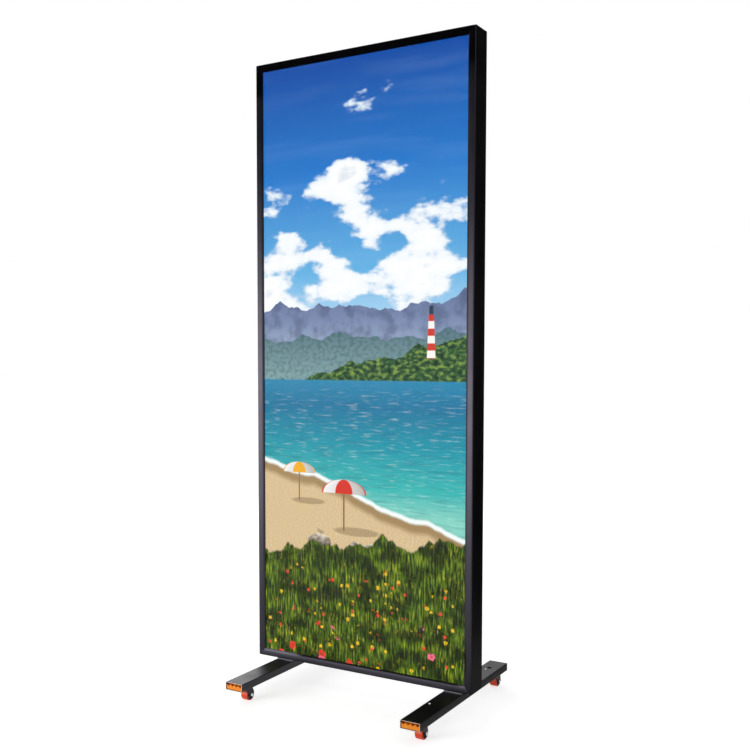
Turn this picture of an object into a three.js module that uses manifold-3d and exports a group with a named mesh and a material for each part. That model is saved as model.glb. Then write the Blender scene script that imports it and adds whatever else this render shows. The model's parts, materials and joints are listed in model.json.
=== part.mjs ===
// A floor-standing LED light box on swivel castors.
// Millimetres, Z up. X runs along the width, Y from the lit front to the back.
// The origin lies on the floor, under the middle of the box.

import * as THREE from 'three';
import { mergeVertices } from 'three/addons/utils/BufferGeometryUtils.js';
import Module from 'manifold-3d';

const wasm = await Module();
wasm.setup();

// Driving sizes of the box
const BOX_WIDTH = 800;
const BOX_HEIGHT = 2000;
const BOX_DEPTH = 80;

// Clearances
const SEAT_GAP = 0.25; // between pieces that rest on or in each other
const CUT_OVERRUN = 5; // how far a cutting tool runs past what it cuts

// Front rail: a snap-open extrusion with a flat face, a bevelled inner edge and a hinge hook
const RAIL_FACE = 25;
const RAIL_FLAT = 17;
const RAIL_BEVEL_DROP = 3.5;
const RAIL_DEPTH = 6.5;
const RAIL_WALL = 1.25;
const RAIL_HOOK_RADIUS = 2.5;
const RAIL_HOOK_TIP = THREE.MathUtils.degToRad(155);
const RAIL_MITRE_GAP = 0.25;
const RAIL_HOOK_RELIEF = 6;
const RAIL_END_SLANT = 0.5;

// Sheets behind the front rails
const SHEET_INSET = 14;
const COVER_THICKNESS = 1;
const PRINT_THICKNESS = 0.5;
const DIFFUSER_THICKNESS = 3;

// Box frame profile
const PROFILE_WALL = 2;
const PROFILE_SHELF = 22;
const PROFILE_CHAMBER = 38;
const PROFILE_MITRE_GAP = 0.125;
const HINGE_BEAD_RADIUS = 1;
const HINGE_STEM_THICKNESS = 1;
const HINGE_STEM_ANGLE = THREE.MathUtils.degToRad(20);
const HINGE_WEB_INSET = 6;
const HINGE_WEB_THICKNESS = 1.25;
const BACK_LEDGE = 10;
const BACK_LIP = 16;

// Corner key in the chamber of two profiles
const KEY_LEG = 36;

// Spring strip under each front rail
const SPRING_INSET = 8.5;
const SPRING_WIDTH = 4;
const SPRING_THICKNESS = 0.75;
const SPRING_LENGTH = 300;

// Back panel and its vents
const PANEL_THICKNESS = 2.5;
const PANEL_INSET = 3;
const VENT_COUNT = 9;
const VENT_SPACING = 14;
const VENT_WIDTH = 4;
const VENT_LENGTH = 40;
const VENT_FROM_END = 120;

// LED bars on the back panel
const LED_BAR_COUNT = 4;
const LED_BAR_FROM_SIDE = 124;
const LED_BAR_WIDTH = 12;
const LED_BAR_THICKNESS = 1.5;
const LED_BAR_FROM_END = 60;
const LENS_COUNT = 11;
const LENS_RADIUS = 7;
const LENS_HEIGHT = 5;
const LENS_WAIST_SHARE = 0.8;

// Power supply
const SUPPLY_WIDTH = 62;
const SUPPLY_HEIGHT = 210;
const SUPPLY_DEPTH = 22;
const SUPPLY_CHAMFER = 3;
const SUPPLY_TAB = 10;
const SUPPLY_TAB_THICKNESS = 2;
const SUPPLY_FROM_BASE = 60;

// Mains inlet
const INLET_FROM_BASE = 120;
const INLET_FLANGE_WIDTH = 31;
const INLET_FLANGE_HEIGHT = 24;
const INLET_FLANGE_THICKNESS = 2;
const INLET_BODY_WIDTH = 27;
const INLET_BODY_HEIGHT = 20;
const INLET_BODY_DEPTH = 20;
const INLET_WALL = 1.5;
const INLET_SOCKET_DEPTH = 16;
const INLET_SOCKET_CHAMFER = 4;
const INLET_PIN_LENGTH = 10;
const INLET_PIN_WIDTH = 2;
const INLET_PIN_HEIGHT = 4;
const INLET_PIN_SPREAD = 7;
const INLET_PIN_LIFT = 2;

// Mains switch
const SWITCH_ABOVE_INLET = 34;
const SWITCH_BEZEL_WIDTH = 15;
const SWITCH_BEZEL_HEIGHT = 21;
const SWITCH_BEZEL_THICKNESS = 1.5;
const SWITCH_BODY_WIDTH = 13;
const SWITCH_BODY_HEIGHT = 19;
const SWITCH_BODY_DEPTH = 14;
const SWITCH_WALL = 1.5;
const SWITCH_WELL_DEPTH = 12;
const ROCKER_HALF_HEIGHT = 7;
const ROCKER_RISE = 3;
const ROCKER_ROOT = 3;
const ROCKER_SKIRT = 4;
const ROCKER_TILT = THREE.MathUtils.degToRad(8);
const ROCKER_PIVOT_DEPTH = 3;
const TRUNNION_RADIUS = 1.25;
const TRUNNION_REACH = 1;

// Foot: a flat tube across the box, with its holes
const FOOT_LENGTH = 640;
const FOOT_WIDTH = 64;
const FOOT_HEIGHT = 25;
const FOOT_WALL = 1.5;
const FOOT_CORNER_RADIUS = 2;
const LEFT_FOOT_INSET = 108; // from the end of the box to the middle of the foot
const RIGHT_FOOT_INSET = 62;
const ACCESS_HOLE_RADIUS = 8;
const ACCESS_HOLE_FROM_REAR = 75;

// Mounting plate between foot and box
const PLATE_THICKNESS = 2.5;
const PLATE_WIDTH = 62;
const PLATE_FRONT_INSET = 0.5;
const PLATE_REAR_INSET = 4;

// Bolts through foot and plate into the bottom profile
const BOLT_RADIUS = 4;
const BOLT_HEAD_RADIUS = 6.5;
const BOLT_HEAD_HEIGHT = 5;
const BOLT_REACH = 8;
const BOLT_SPREAD = 18;

// End insert in each open end of a foot
const INSERT_RECESS = 2.5;
const INSERT_DEPTH = 20;
const INSERT_STEP_DEPTH = 12;
const INSERT_STEP_HEIGHT = 15;
const INSERT_NOTCH_COUNT = 4;
const INSERT_NOTCH_WIDTH = 8;
const INSERT_NOTCH_DEPTH = 5;

// Castor
const CASTOR_HEIGHT = 49;
const CASTOR_FROM_END = 50;
const CASTOR_TRAIL = 22;
const WHEEL_RADIUS = 20;
const WHEEL_WIDTH = 26;
const TREAD_THICKNESS = 3.5;
const TREAD_SHOULDER = 3;
const HUB_BOSS_RADIUS = 7;
const HUB_BOSS_PROUD = 1.5;
const HUB_RIM_WALL = 2;
const HUB_RECESS = 4;
const AXLE_RADIUS = 4;
const AXLE_HEAD_RADIUS = 6;
const AXLE_HEAD_LENGTH = 3.5;
const FORK_WALL = 2.5;
const FORK_SIDE_CLEARANCE = 2;
const FORK_AXLE_EYE = 8;
const FORK_NOSE = 12;
const FORK_TAIL = 27;
const TOP_PLATE_LENGTH = 44;
const TOP_PLATE_WIDTH = 38;
const TOP_PLATE_THICKNESS = 2.5;
const RACEWAY_RADIUS = 15;
const RACEWAY_HEIGHT = 2;
const KING_PIN_RADIUS = 4;
const KING_PIN_HEAD_RADIUS = 6.5;
const KING_PIN_HEAD_HEIGHT = 2;

// Facets on round shapes
const FINE_FACETS = 32;
const PLAIN_FACETS = 24;
const COARSE_FACETS = 12;
const LENS_FACETS = 8;
const HEXAGON = 6;
const ARC_STEPS = 5;
const SLOT_ARC_STEPS = 2;
const SHOULDER_STEPS = 2;

// Heights that follow from the sizes above
const FOOT_TOP = CASTOR_HEIGHT + FOOT_HEIGHT;
const BOX_BASE = FOOT_TOP + PLATE_THICKNESS + 2 * SEAT_GAP;

// Depths inside the box, from its front face
const COVER_DEPTH = RAIL_DEPTH + SEAT_GAP;
const PRINT_DEPTH = COVER_DEPTH + COVER_THICKNESS + SEAT_GAP;
const DIFFUSER_DEPTH = PRINT_DEPTH + PRINT_THICKNESS + SEAT_GAP;
const SHELF_DEPTH = DIFFUSER_DEPTH + DIFFUSER_THICKNESS + SEAT_GAP;
const CHAMBER_END = SHELF_DEPTH + PROFILE_CHAMBER;
const LIP_DEPTH = BOX_DEPTH - PROFILE_WALL;
const PANEL_REAR = LIP_DEPTH - SEAT_GAP;
const PANEL_FRONT = PANEL_REAR - PANEL_THICKNESS;
const LEDGE_REAR = PANEL_FRONT - SEAT_GAP;

// The LED bars stand at even spaces across the box. The supply is in the first space, and the
// inlet and switch are in the last.
const LED_BAR_FIRST = LED_BAR_FROM_SIDE - BOX_WIDTH / 2;
const LED_BAR_SPACING = -2 * LED_BAR_FIRST / (LED_BAR_COUNT - 1);
const SUPPLY_MIDDLE = LED_BAR_FIRST + LED_BAR_SPACING / 2;
const INLET_MIDDLE = -SUPPLY_MIDDLE;

const FINISHES = {
  coatedAluminium: { color: 0x1c1b1e, roughness: 0.42, metalness: 0.3 },
  millAluminium: { color: 0xb9bcc0, roughness: 0.45, metalness: 0.9 },
  springSteel: { color: 0x9a9da1, roughness: 0.35, metalness: 0.9 },
  clearSheet: { color: 0xe8f0f2, roughness: 0.08, metalness: 0 },
  printedFilm: { color: 0x4f8fb4, roughness: 0.5, metalness: 0 },
  opalAcrylic: { color: 0xf2f3f1, roughness: 0.4, metalness: 0 },
  greyPanel: { color: 0x3a3b3e, roughness: 0.55, metalness: 0.1 },
  circuitBoard: { color: 0xeceee9, roughness: 0.5, metalness: 0 },
  blackPlastic: { color: 0x121214, roughness: 0.5, metalness: 0 },
  powderedSteel: { color: 0x1a1a1d, roughness: 0.5, metalness: 0.2 },
  zincSteel: { color: 0xc4c7c9, roughness: 0.3, metalness: 0.9 },
  amberPlastic: { color: 0xd8861f, roughness: 0.45, metalness: 0 },
  redTread: { color: 0xd8442a, roughness: 0.4, metalness: 0 },
  hubPlastic: { color: 0x4c4748, roughness: 0.5, metalness: 0 },
};

// Adds a named piece with its own material to a group
function addPiece(parent, name, geometry, finish) {
  const mesh = new THREE.Mesh(geometry, new THREE.MeshStandardMaterial(FINISHES[finish]));
  mesh.name = name;
  parent.add(mesh);
}

// Turns a closed geometry into a solid that can be joined and cut
function toSolid(geometry) {
  const bare = geometry.clone();
  bare.deleteAttribute('normal');
  bare.deleteAttribute('uv');
  const merged = mergeVertices(bare);
  return new wasm.Manifold(new wasm.Mesh({
    numProp: 3,
    vertProperties: merged.attributes.position.array,
    triVerts: Uint32Array.from(merged.index.array),
  }));
}

function toGeometry(solid) {
  const mesh = solid.getMesh();
  const geometry = new THREE.BufferGeometry();
  geometry.setAttribute('position', new THREE.BufferAttribute(mesh.vertProperties, 3));
  geometry.setIndex(new THREE.BufferAttribute(mesh.triVerts, 1));
  geometry.computeVertexNormals();
  return geometry;
}

function join(...geometries) {
  return toGeometry(geometries.map(toSolid).reduce((whole, part) => whole.add(part)));
}

function cut(geometry, tools) {
  return toGeometry(tools.map(toSolid).reduce((whole, tool) => whole.subtract(tool), toSolid(geometry)));
}

// A box between two corners, each given as [low, high] along X, Y and Z
function block([x0, x1], [y0, y1], [z0, z1]) {
  const geometry = new THREE.BoxGeometry(x1 - x0, y1 - y0, z1 - z0);
  return geometry.translate((x0 + x1) / 2, (y0 + y1) / 2, (z0 + z1) / 2);
}

// A range of the given length about a middle value
function span(length, middle = 0) {
  return [middle - length / 2, middle + length / 2];
}

// A round bar along Z
function uprightRod(radius, [z0, z1], facets) {
  const geometry = new THREE.CylinderGeometry(radius, radius, z1 - z0, facets);
  return geometry.rotateX(Math.PI / 2).translate(0, 0, (z0 + z1) / 2);
}

// A round bar along X
function crossRod(radius, [x0, x1], facets) {
  const geometry = new THREE.CylinderGeometry(radius, radius, x1 - x0, facets);
  return geometry.rotateZ(Math.PI / 2).translate((x0 + x1) / 2, 0, 0);
}

function polygon(points) {
  return new THREE.Shape(points.map(([x, y]) => new THREE.Vector2(x, y)));
}

function rectangle([x0, x1], [y0, y1]) {
  return polygon([[x0, y0], [x1, y0], [x1, y1], [x0, y1]]);
}

function roundedRectangle(width, height, radius) {
  const shape = new THREE.Shape();
  const x = width / 2 - radius;
  const y = height / 2 - radius;
  const quarter = Math.PI / 2;
  shape.absarc(x, y, radius, 0, quarter);
  shape.absarc(-x, y, radius, quarter, 2 * quarter);
  shape.absarc(-x, -y, radius, 2 * quarter, 3 * quarter);
  shape.absarc(x, -y, radius, 3 * quarter, 4 * quarter);
  shape.closePath();
  return shape;
}

function extrude(shape, depth, curveSegments = ARC_STEPS) {
  return new THREE.ExtrudeGeometry(shape, { depth, bevelEnabled: false, curveSegments });
}

// An outline in X and Z, run from one depth to another along Y
function extrudeAlongDepth(shape, [y0, y1], curveSegments = ARC_STEPS) {
  return extrude(shape, y1 - y0, curveSegments).rotateX(Math.PI / 2).translate(0, y1, 0);
}

// An outline in Y and Z, run along X
function extrudeAlongWidth(shape, [x0, x1]) {
  const turn = new THREE.Matrix4().set(
    0, 0, 1, x0,
    1, 0, 0, 0,
    0, 1, 0, 0,
    0, 0, 0, 1,
  );
  return extrude(shape, x1 - x0).applyMatrix4(turn);
}

// A turned piece whose axis runs along X, from points of [place along X, radius]
function turned(points, facets) {
  const profile = points.map(([along, radius]) => new THREE.Vector2(radius, along));
  profile.push(profile[0].clone());
  return new THREE.LatheGeometry(profile, facets).rotateZ(-Math.PI / 2);
}

// The front rail's section: across is the way in from the outer face, down is the depth
function railSection() {
  const hook = RAIL_HOOK_RADIUS;
  const slope = RAIL_BEVEL_DROP / (RAIL_FACE - RAIL_FLAT);
  const slopedWall = RAIL_WALL * Math.hypot(1, slope);
  const innerFace = RAIL_FACE - RAIL_WALL;
  const shape = new THREE.Shape();
  shape.absarc(hook, hook, hook, RAIL_HOOK_TIP, 1.5 * Math.PI, false);
  shape.lineTo(RAIL_FLAT, 0);
  shape.lineTo(RAIL_FACE, RAIL_BEVEL_DROP);
  shape.lineTo(RAIL_FACE, RAIL_DEPTH);
  shape.lineTo(innerFace, RAIL_DEPTH);
  shape.lineTo(innerFace, slope * (innerFace - RAIL_FLAT) + slopedWall);
  shape.lineTo(RAIL_FLAT + (RAIL_WALL - slopedWall) / slope, RAIL_WALL);
  shape.lineTo(hook, RAIL_WALL);
  shape.absarc(hook, hook, hook - RAIL_WALL, 1.5 * Math.PI, RAIL_HOOK_TIP, true);
  shape.closePath();
  return shape;
}

// The box frame profile's section, in the same directions. Its outer wall ends in a groove
// for the rail's hook, and a web carries the bead that the hook turns on.
function profileSection() {
  const pivot = RAIL_HOOK_RADIUS;
  const groove = RAIL_HOOK_RADIUS + SEAT_GAP;
  const grooveStart = Math.acos(-pivot / groove);
  const grooveEnd = Math.acos((PROFILE_WALL - pivot) / groove);
  const half = HINGE_STEM_THICKNESS / 2;
  const spread = Math.asin(half / HINGE_BEAD_RADIUS);
  const webOuter = HINGE_WEB_INSET;
  const webInner = HINGE_WEB_INSET + HINGE_WEB_THICKNESS;
  const slope = Math.tan(HINGE_STEM_ANGLE);
  const rise = half / Math.cos(HINGE_STEM_ANGLE);
  const shape = new THREE.Shape();
  shape.absarc(pivot, pivot, groove, grooveStart, grooveEnd, true);
  shape.lineTo(PROFILE_WALL, SHELF_DEPTH);
  shape.lineTo(webOuter, SHELF_DEPTH);
  shape.lineTo(webOuter, pivot + slope * (webOuter - pivot) + rise);
  shape.absarc(pivot, pivot, HINGE_BEAD_RADIUS, HINGE_STEM_ANGLE + spread,
    HINGE_STEM_ANGLE - spread + 2 * Math.PI, false);
  shape.lineTo(webInner, pivot + slope * (webInner - pivot) - rise);
  shape.lineTo(webInner, SHELF_DEPTH);
  shape.lineTo(PROFILE_SHELF, SHELF_DEPTH);
  shape.lineTo(PROFILE_SHELF, CHAMBER_END);
  shape.lineTo(PROFILE_WALL, CHAMBER_END);
  shape.lineTo(PROFILE_WALL, LEDGE_REAR - PROFILE_WALL);
  shape.lineTo(BACK_LEDGE, LEDGE_REAR - PROFILE_WALL);
  shape.lineTo(BACK_LEDGE, LEDGE_REAR);
  shape.lineTo(PROFILE_WALL, LEDGE_REAR);
  shape.lineTo(PROFILE_WALL, LIP_DEPTH);
  shape.lineTo(BACK_LIP, LIP_DEPTH);
  shape.lineTo(BACK_LIP, BOX_DEPTH);
  shape.lineTo(0, BOX_DEPTH);
  shape.closePath();
  shape.holes.push(rectangle(
    [PROFILE_WALL, PROFILE_SHELF - PROFILE_WALL],
    [SHELF_DEPTH + PROFILE_WALL, CHAMBER_END - PROFILE_WALL],
  ));
  return shape;
}

// Runs a section along Z and mitres both ends, cut back by a gap
function mitredBar(section, length, gap) {
  const bar = extrude(section, length);
  const places = bar.attributes.position;
  for (let i = 0; i < places.count; i++) {
    const inward = places.getX(i) + gap;
    places.setZ(i, places.getZ(i) < length / 2 ? inward : length - inward);
  }
  return bar;
}

// The hook and the outer edge are cleared at both ends along a slanted line,
// so that they don't meet the next rail as it turns
function frontRail(length) {
  const bar = mitredBar(railSection(), length, RAIL_MITRE_GAP);
  const reach = RAIL_HOOK_RADIUS + CUT_OVERRUN;
  const relief = extrude(polygon([
    [-CUT_OVERRUN, -CUT_OVERRUN - RAIL_END_SLANT],
    [RAIL_HOOK_RADIUS, RAIL_HOOK_RADIUS - RAIL_END_SLANT],
    [RAIL_HOOK_RADIUS, reach],
    [-CUT_OVERRUN, reach],
  ]), RAIL_HOOK_RELIEF + CUT_OVERRUN);
  return cut(bar, [
    relief.clone().translate(0, 0, -CUT_OVERRUN),
    relief.translate(0, 0, length - RAIL_HOOK_RELIEF),
  ]);
}

// A C-shaped strip that stands on the profile's shelf and presses on the rail
function springStrip() {
  const outer = SPRING_INSET;
  const inner = SPRING_INSET + SPRING_WIDTH;
  const web = SPRING_INSET + SPRING_THICKNESS;
  const top = RAIL_WALL + SEAT_GAP;
  const foot = SHELF_DEPTH - SEAT_GAP;
  return extrude(polygon([
    [outer, top],
    [inner, top],
    [inner, top + SPRING_THICKNESS],
    [web, top + SPRING_THICKNESS],
    [web, foot - SPRING_THICKNESS],
    [inner, foot - SPRING_THICKNESS],
    [inner, foot],
    [outer, foot],
  ]), SPRING_LENGTH);
}

// An L that fills the chambers of the two profiles that meet at a corner
function cornerKey() {
  const near = PROFILE_WALL + SEAT_GAP;
  const far = PROFILE_SHELF - PROFILE_WALL - SEAT_GAP;
  const end = near + KEY_LEG;
  const depth = [SHELF_DEPTH + PROFILE_WALL + SEAT_GAP, CHAMBER_END - PROFILE_WALL - SEAT_GAP];
  return extrudeAlongDepth(polygon([
    [near, near],
    [end, near],
    [end, far],
    [far, far],
    [far, end],
    [near, end],
  ]), depth);
}

// The feet and what stands on them
const FEET = [
  { side: 'left', x: -BOX_WIDTH / 2 + LEFT_FOOT_INSET },
  { side: 'right', x: BOX_WIDTH / 2 - RIGHT_FOOT_INSET },
];
const FOOT_ENDS = [
  { end: 'front', way: -1 },
  { end: 'rear', way: 1 },
];
const BOLT_DEPTH = (SHELF_DEPTH + CHAMBER_END) / 2;
const BOLT_HOLE_RADIUS = BOLT_RADIUS + SEAT_GAP;

// Each side of the box has its own frame: X inward, Y back, Z along the side from its first corner
const SIDES = [
  { name: 'left', length: BOX_HEIGHT, turn: 0, corner: [-BOX_WIDTH / 2, 0] },
  { name: 'top', length: BOX_WIDTH, turn: Math.PI / 2, corner: [-BOX_WIDTH / 2, BOX_HEIGHT] },
  { name: 'right', length: BOX_HEIGHT, turn: Math.PI, corner: [BOX_WIDTH / 2, BOX_HEIGHT] },
  { name: 'bottom', length: BOX_WIDTH, turn: -Math.PI / 2, corner: [BOX_WIDTH / 2, 0] },
];

// Bolt holes through the bottom profile's outer wall
function bottomProfileHoles() {
  const holes = [];
  for (const { x } of FEET) {
    for (const way of [-1, 1]) {
      const along = BOX_WIDTH / 2 - (x + way * BOLT_SPREAD);
      const hole = crossRod(BOLT_HOLE_RADIUS, [-CUT_OVERRUN, PROFILE_SHELF / 2], COARSE_FACETS);
      holes.push(hole.translate(0, BOLT_DEPTH, along));
    }
  }
  return holes;
}

function addSides(cabinet) {
  for (const { name, length, turn, corner } of SIDES) {
    const side = new THREE.Group();
    side.position.set(corner[0], 0, corner[1]);
    side.rotation.y = turn;
    cabinet.add(side);

    let profile = mitredBar(profileSection(), length, PROFILE_MITRE_GAP);
    if (name === 'bottom') profile = cut(profile, bottomProfileHoles());
    addPiece(side, `profile_${name}`, profile, 'coatedAluminium');
    addPiece(side, `rail_${name}`, frontRail(length), 'coatedAluminium');
    const spring = springStrip().translate(0, 0, (length - SPRING_LENGTH) / 2);
    addPiece(side, `spring_strip_${name}`, spring, 'springSteel');
    addPiece(side, `corner_key_${name}`, cornerKey(), 'millAluminium');
  }
}

function sheet(depth, thickness) {
  return block(
    span(BOX_WIDTH - 2 * SHEET_INSET),
    [depth, depth + thickness],
    [SHEET_INSET, BOX_HEIGHT - SHEET_INSET],
  );
}

// A vertical slot with round ends, through the back panel
function ventSlot(x, z) {
  const slot = roundedRectangle(VENT_WIDTH, VENT_LENGTH, VENT_WIDTH / 2);
  const depth = [PANEL_FRONT - CUT_OVERRUN, PANEL_REAR + CUT_OVERRUN];
  return extrudeAlongDepth(slot, depth, SLOT_ARC_STEPS).translate(x, 0, z);
}

function panelWindow(width, height, z) {
  return block(
    span(width + 2 * SEAT_GAP, INLET_MIDDLE),
    [PANEL_FRONT - CUT_OVERRUN, PANEL_REAR + CUT_OVERRUN],
    span(height + 2 * SEAT_GAP, z),
  );
}

function backPanel() {
  const panel = block(
    span(BOX_WIDTH - 2 * PANEL_INSET),
    [PANEL_FRONT, PANEL_REAR],
    [PANEL_INSET, BOX_HEIGHT - PANEL_INSET],
  );
  const tools = [
    panelWindow(INLET_BODY_WIDTH, INLET_BODY_HEIGHT, INLET_FROM_BASE),
    panelWindow(SWITCH_BODY_WIDTH, SWITCH_BODY_HEIGHT, INLET_FROM_BASE + SWITCH_ABOVE_INLET),
  ];
  for (let i = 0; i < VENT_COUNT; i++) {
    const x = (i - (VENT_COUNT - 1) / 2) * VENT_SPACING;
    tools.push(ventSlot(x, VENT_FROM_END), ventSlot(x, BOX_HEIGHT - VENT_FROM_END));
  }
  return cut(panel, tools);
}

// A board with a row of lenses, standing off the back panel towards the diffuser
function ledBar() {
  const rear = LEDGE_REAR;
  const board = rear - LED_BAR_THICKNESS;
  const first = LED_BAR_FROM_END;
  const last = BOX_HEIGHT - LED_BAR_FROM_END;
  const pitch = (last - first) / LENS_COUNT;
  const lens = new THREE.LatheGeometry([
    new THREE.Vector2(0, 0),
    new THREE.Vector2(LENS_RADIUS, 0),
    new THREE.Vector2(LENS_RADIUS * LENS_WAIST_SHARE, LENS_HEIGHT * LENS_WAIST_SHARE),
    new THREE.Vector2(0, LENS_HEIGHT),
  ], LENS_FACETS);
  // The lens is let into the board, so that the two are one body
  lens.rotateX(Math.PI).translate(0, board + LED_BAR_THICKNESS / 2, 0);
  const pieces = [block(span(LED_BAR_WIDTH), [board, rear], [first, last])];
  for (let i = 0; i < LENS_COUNT; i++) {
    pieces.push(lens.clone().translate(0, 0, first + (i + 1 / 2) * pitch));
  }
  return join(...pieces);
}

// A chamfered can with a screw tab at each end
function powerSupply() {
  const rear = LEDGE_REAR;
  const front = rear - SUPPLY_DEPTH;
  const half = SUPPLY_WIDTH / 2;
  const shoulder = half - SUPPLY_CHAMFER;
  const can = extrude(polygon([
    [-half, rear],
    [-half, front + SUPPLY_CHAMFER],
    [-shoulder, front],
    [shoulder, front],
    [half, front + SUPPLY_CHAMFER],
    [half, rear],
  ]), SUPPLY_HEIGHT);
  const tabs = block(span(shoulder), [rear - SUPPLY_TAB_THICKNESS, rear],
    [-SUPPLY_TAB, SUPPLY_HEIGHT + SUPPLY_TAB]);
  return join(can, tabs);
}

// The inlet faces back: a flange on the panel, and a socket with three flat pins
function powerInlet() {
  const seat = PANEL_REAR + SEAT_GAP;
  const mouth = seat + INLET_FLANGE_THICKNESS;
  const floor = mouth - INLET_SOCKET_DEPTH;
  const x = INLET_BODY_WIDTH / 2 - INLET_WALL;
  const z = INLET_BODY_HEIGHT / 2 - INLET_WALL;
  const shoulder = INLET_SOCKET_CHAMFER;
  const flange = block(span(INLET_FLANGE_WIDTH), [seat, mouth], span(INLET_FLANGE_HEIGHT));
  const body = block(span(INLET_BODY_WIDTH), [mouth - INLET_BODY_DEPTH, mouth], span(INLET_BODY_HEIGHT));
  const socket = extrudeAlongDepth(polygon([
    [-x, -z],
    [x, -z],
    [x, z - shoulder],
    [x - shoulder, z],
    [shoulder - x, z],
    [-x, z - shoulder],
  ]), [floor, mouth + CUT_OVERRUN]);
  const pinPlaces = [
    [0, INLET_PIN_LIFT],
    [-INLET_PIN_SPREAD, -INLET_PIN_LIFT],
    [INLET_PIN_SPREAD, -INLET_PIN_LIFT],
  ];
  const pins = pinPlaces.map(([pinX, pinZ]) => block(
    span(INLET_PIN_WIDTH, pinX),
    [floor - INLET_WALL, floor + INLET_PIN_LENGTH],
    span(INLET_PIN_HEIGHT, pinZ),
  ));
  return join(cut(join(flange, body), [socket]), ...pins);
}

const ROCKER_PIVOT = PANEL_REAR + SEAT_GAP + SWITCH_BEZEL_THICKNESS - ROCKER_PIVOT_DEPTH;

// A bezel with a well for the rocker, and a hole on each side for its trunnions
function switchHousing() {
  const seat = PANEL_REAR + SEAT_GAP;
  const mouth = seat + SWITCH_BEZEL_THICKNESS;
  const bezel = block(span(SWITCH_BEZEL_WIDTH), [seat, mouth], span(SWITCH_BEZEL_HEIGHT));
  const body = block(span(SWITCH_BODY_WIDTH), [mouth - SWITCH_BODY_DEPTH, mouth], span(SWITCH_BODY_HEIGHT));
  const well = block(
    span(SWITCH_BODY_WIDTH - 2 * SWITCH_WALL),
    [mouth - SWITCH_WELL_DEPTH, mouth + CUT_OVERRUN],
    span(SWITCH_BODY_HEIGHT - 2 * SWITCH_WALL),
  );
  const bore = crossRod(TRUNNION_RADIUS + SEAT_GAP, span(SWITCH_BODY_WIDTH + 2 * CUT_OVERRUN), COARSE_FACETS);
  return cut(join(bezel, body), [well, bore.translate(0, ROCKER_PIVOT, 0)]);
}

// Two faces that meet in a shallow valley, over a narrower root, pressed in at the top
function rocker() {
  const half = ROCKER_HALF_HEIGHT;
  const face = extrudeAlongWidth(polygon([
    [ROCKER_RISE, 0],
    [ROCKER_SKIRT, half],
    [-ROCKER_RISE, half],
    [-ROCKER_SKIRT, ROCKER_ROOT],
    [-ROCKER_SKIRT, -ROCKER_ROOT],
    [-ROCKER_RISE, -half],
    [ROCKER_SKIRT, -half],
  ]), span(SWITCH_BODY_WIDTH - 2 * SWITCH_WALL - 2 * SEAT_GAP));
  const reach = SWITCH_BODY_WIDTH - 2 * SWITCH_WALL + 2 * TRUNNION_REACH;
  const trunnions = crossRod(TRUNNION_RADIUS, span(reach), COARSE_FACETS);
  return join(face, trunnions).rotateX(ROCKER_TILT).translate(0, ROCKER_PIVOT, 0);
}

function addElectrics(cabinet) {
  for (let i = 0; i < LED_BAR_COUNT; i++) {
    const bar = ledBar().translate(LED_BAR_FIRST + i * LED_BAR_SPACING, 0, 0);
    addPiece(cabinet, `led_bar_${i + 1}`, bar, 'circuitBoard');
  }
  const switchHeight = INLET_FROM_BASE + SWITCH_ABOVE_INLET;
  const supply = powerSupply().translate(SUPPLY_MIDDLE, 0, SUPPLY_FROM_BASE);
  addPiece(cabinet, 'power_supply', supply, 'millAluminium');
  const inlet = powerInlet().translate(INLET_MIDDLE, 0, INLET_FROM_BASE);
  addPiece(cabinet, 'power_inlet', inlet, 'blackPlastic');
  const housing = switchHousing().translate(INLET_MIDDLE, 0, switchHeight);
  addPiece(cabinet, 'switch_housing', housing, 'blackPlastic');
  addPiece(cabinet, 'switch_rocker', rocker().translate(INLET_MIDDLE, 0, switchHeight), 'blackPlastic');
}

// A flat tube with its length along Y. The bolt heads are reached through its underside, and one
// hole near the rear end opens its top.
function foot() {
  const tube = roundedRectangle(FOOT_WIDTH, FOOT_HEIGHT, FOOT_CORNER_RADIUS);
  tube.holes.push(rectangle(span(FOOT_WIDTH - 2 * FOOT_WALL), span(FOOT_HEIGHT - 2 * FOOT_WALL)));
  const bar = extrudeAlongDepth(tube, span(FOOT_LENGTH)).translate(0, 0, FOOT_HEIGHT / 2);
  const boltY = BOLT_DEPTH - BOX_DEPTH / 2;
  const middle = FOOT_HEIGHT / 2;
  const tools = [
    uprightRod(ACCESS_HOLE_RADIUS, [middle, FOOT_HEIGHT + CUT_OVERRUN], PLAIN_FACETS)
      .translate(0, FOOT_LENGTH / 2 - ACCESS_HOLE_FROM_REAR, 0),
  ];
  for (const way of [-1, 1]) {
    const x = way * BOLT_SPREAD;
    const shank = uprightRod(BOLT_HOLE_RADIUS, [middle, FOOT_HEIGHT + CUT_OVERRUN], COARSE_FACETS);
    const access = uprightRod(ACCESS_HOLE_RADIUS, [-CUT_OVERRUN, middle], PLAIN_FACETS);
    tools.push(shank.translate(x, boltY, 0), access.translate(x, boltY, 0));
  }
  return cut(bar, tools);
}

function mountingPlate() {
  const front = PLATE_FRONT_INSET - BOX_DEPTH / 2;
  const rear = BOX_DEPTH / 2 - PLATE_REAR_INSET;
  const plate = block(span(PLATE_WIDTH), [front, rear], [0, PLATE_THICKNESS]);
  const boltY = BOLT_DEPTH - BOX_DEPTH / 2;
  const tools = [-1, 1].map((way) => uprightRod(
    BOLT_HOLE_RADIUS,
    [-CUT_OVERRUN, PLATE_THICKNESS + CUT_OVERRUN],
    COARSE_FACETS,
  ).translate(way * BOLT_SPREAD, boltY, 0));
  return cut(plate, tools);
}

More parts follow.
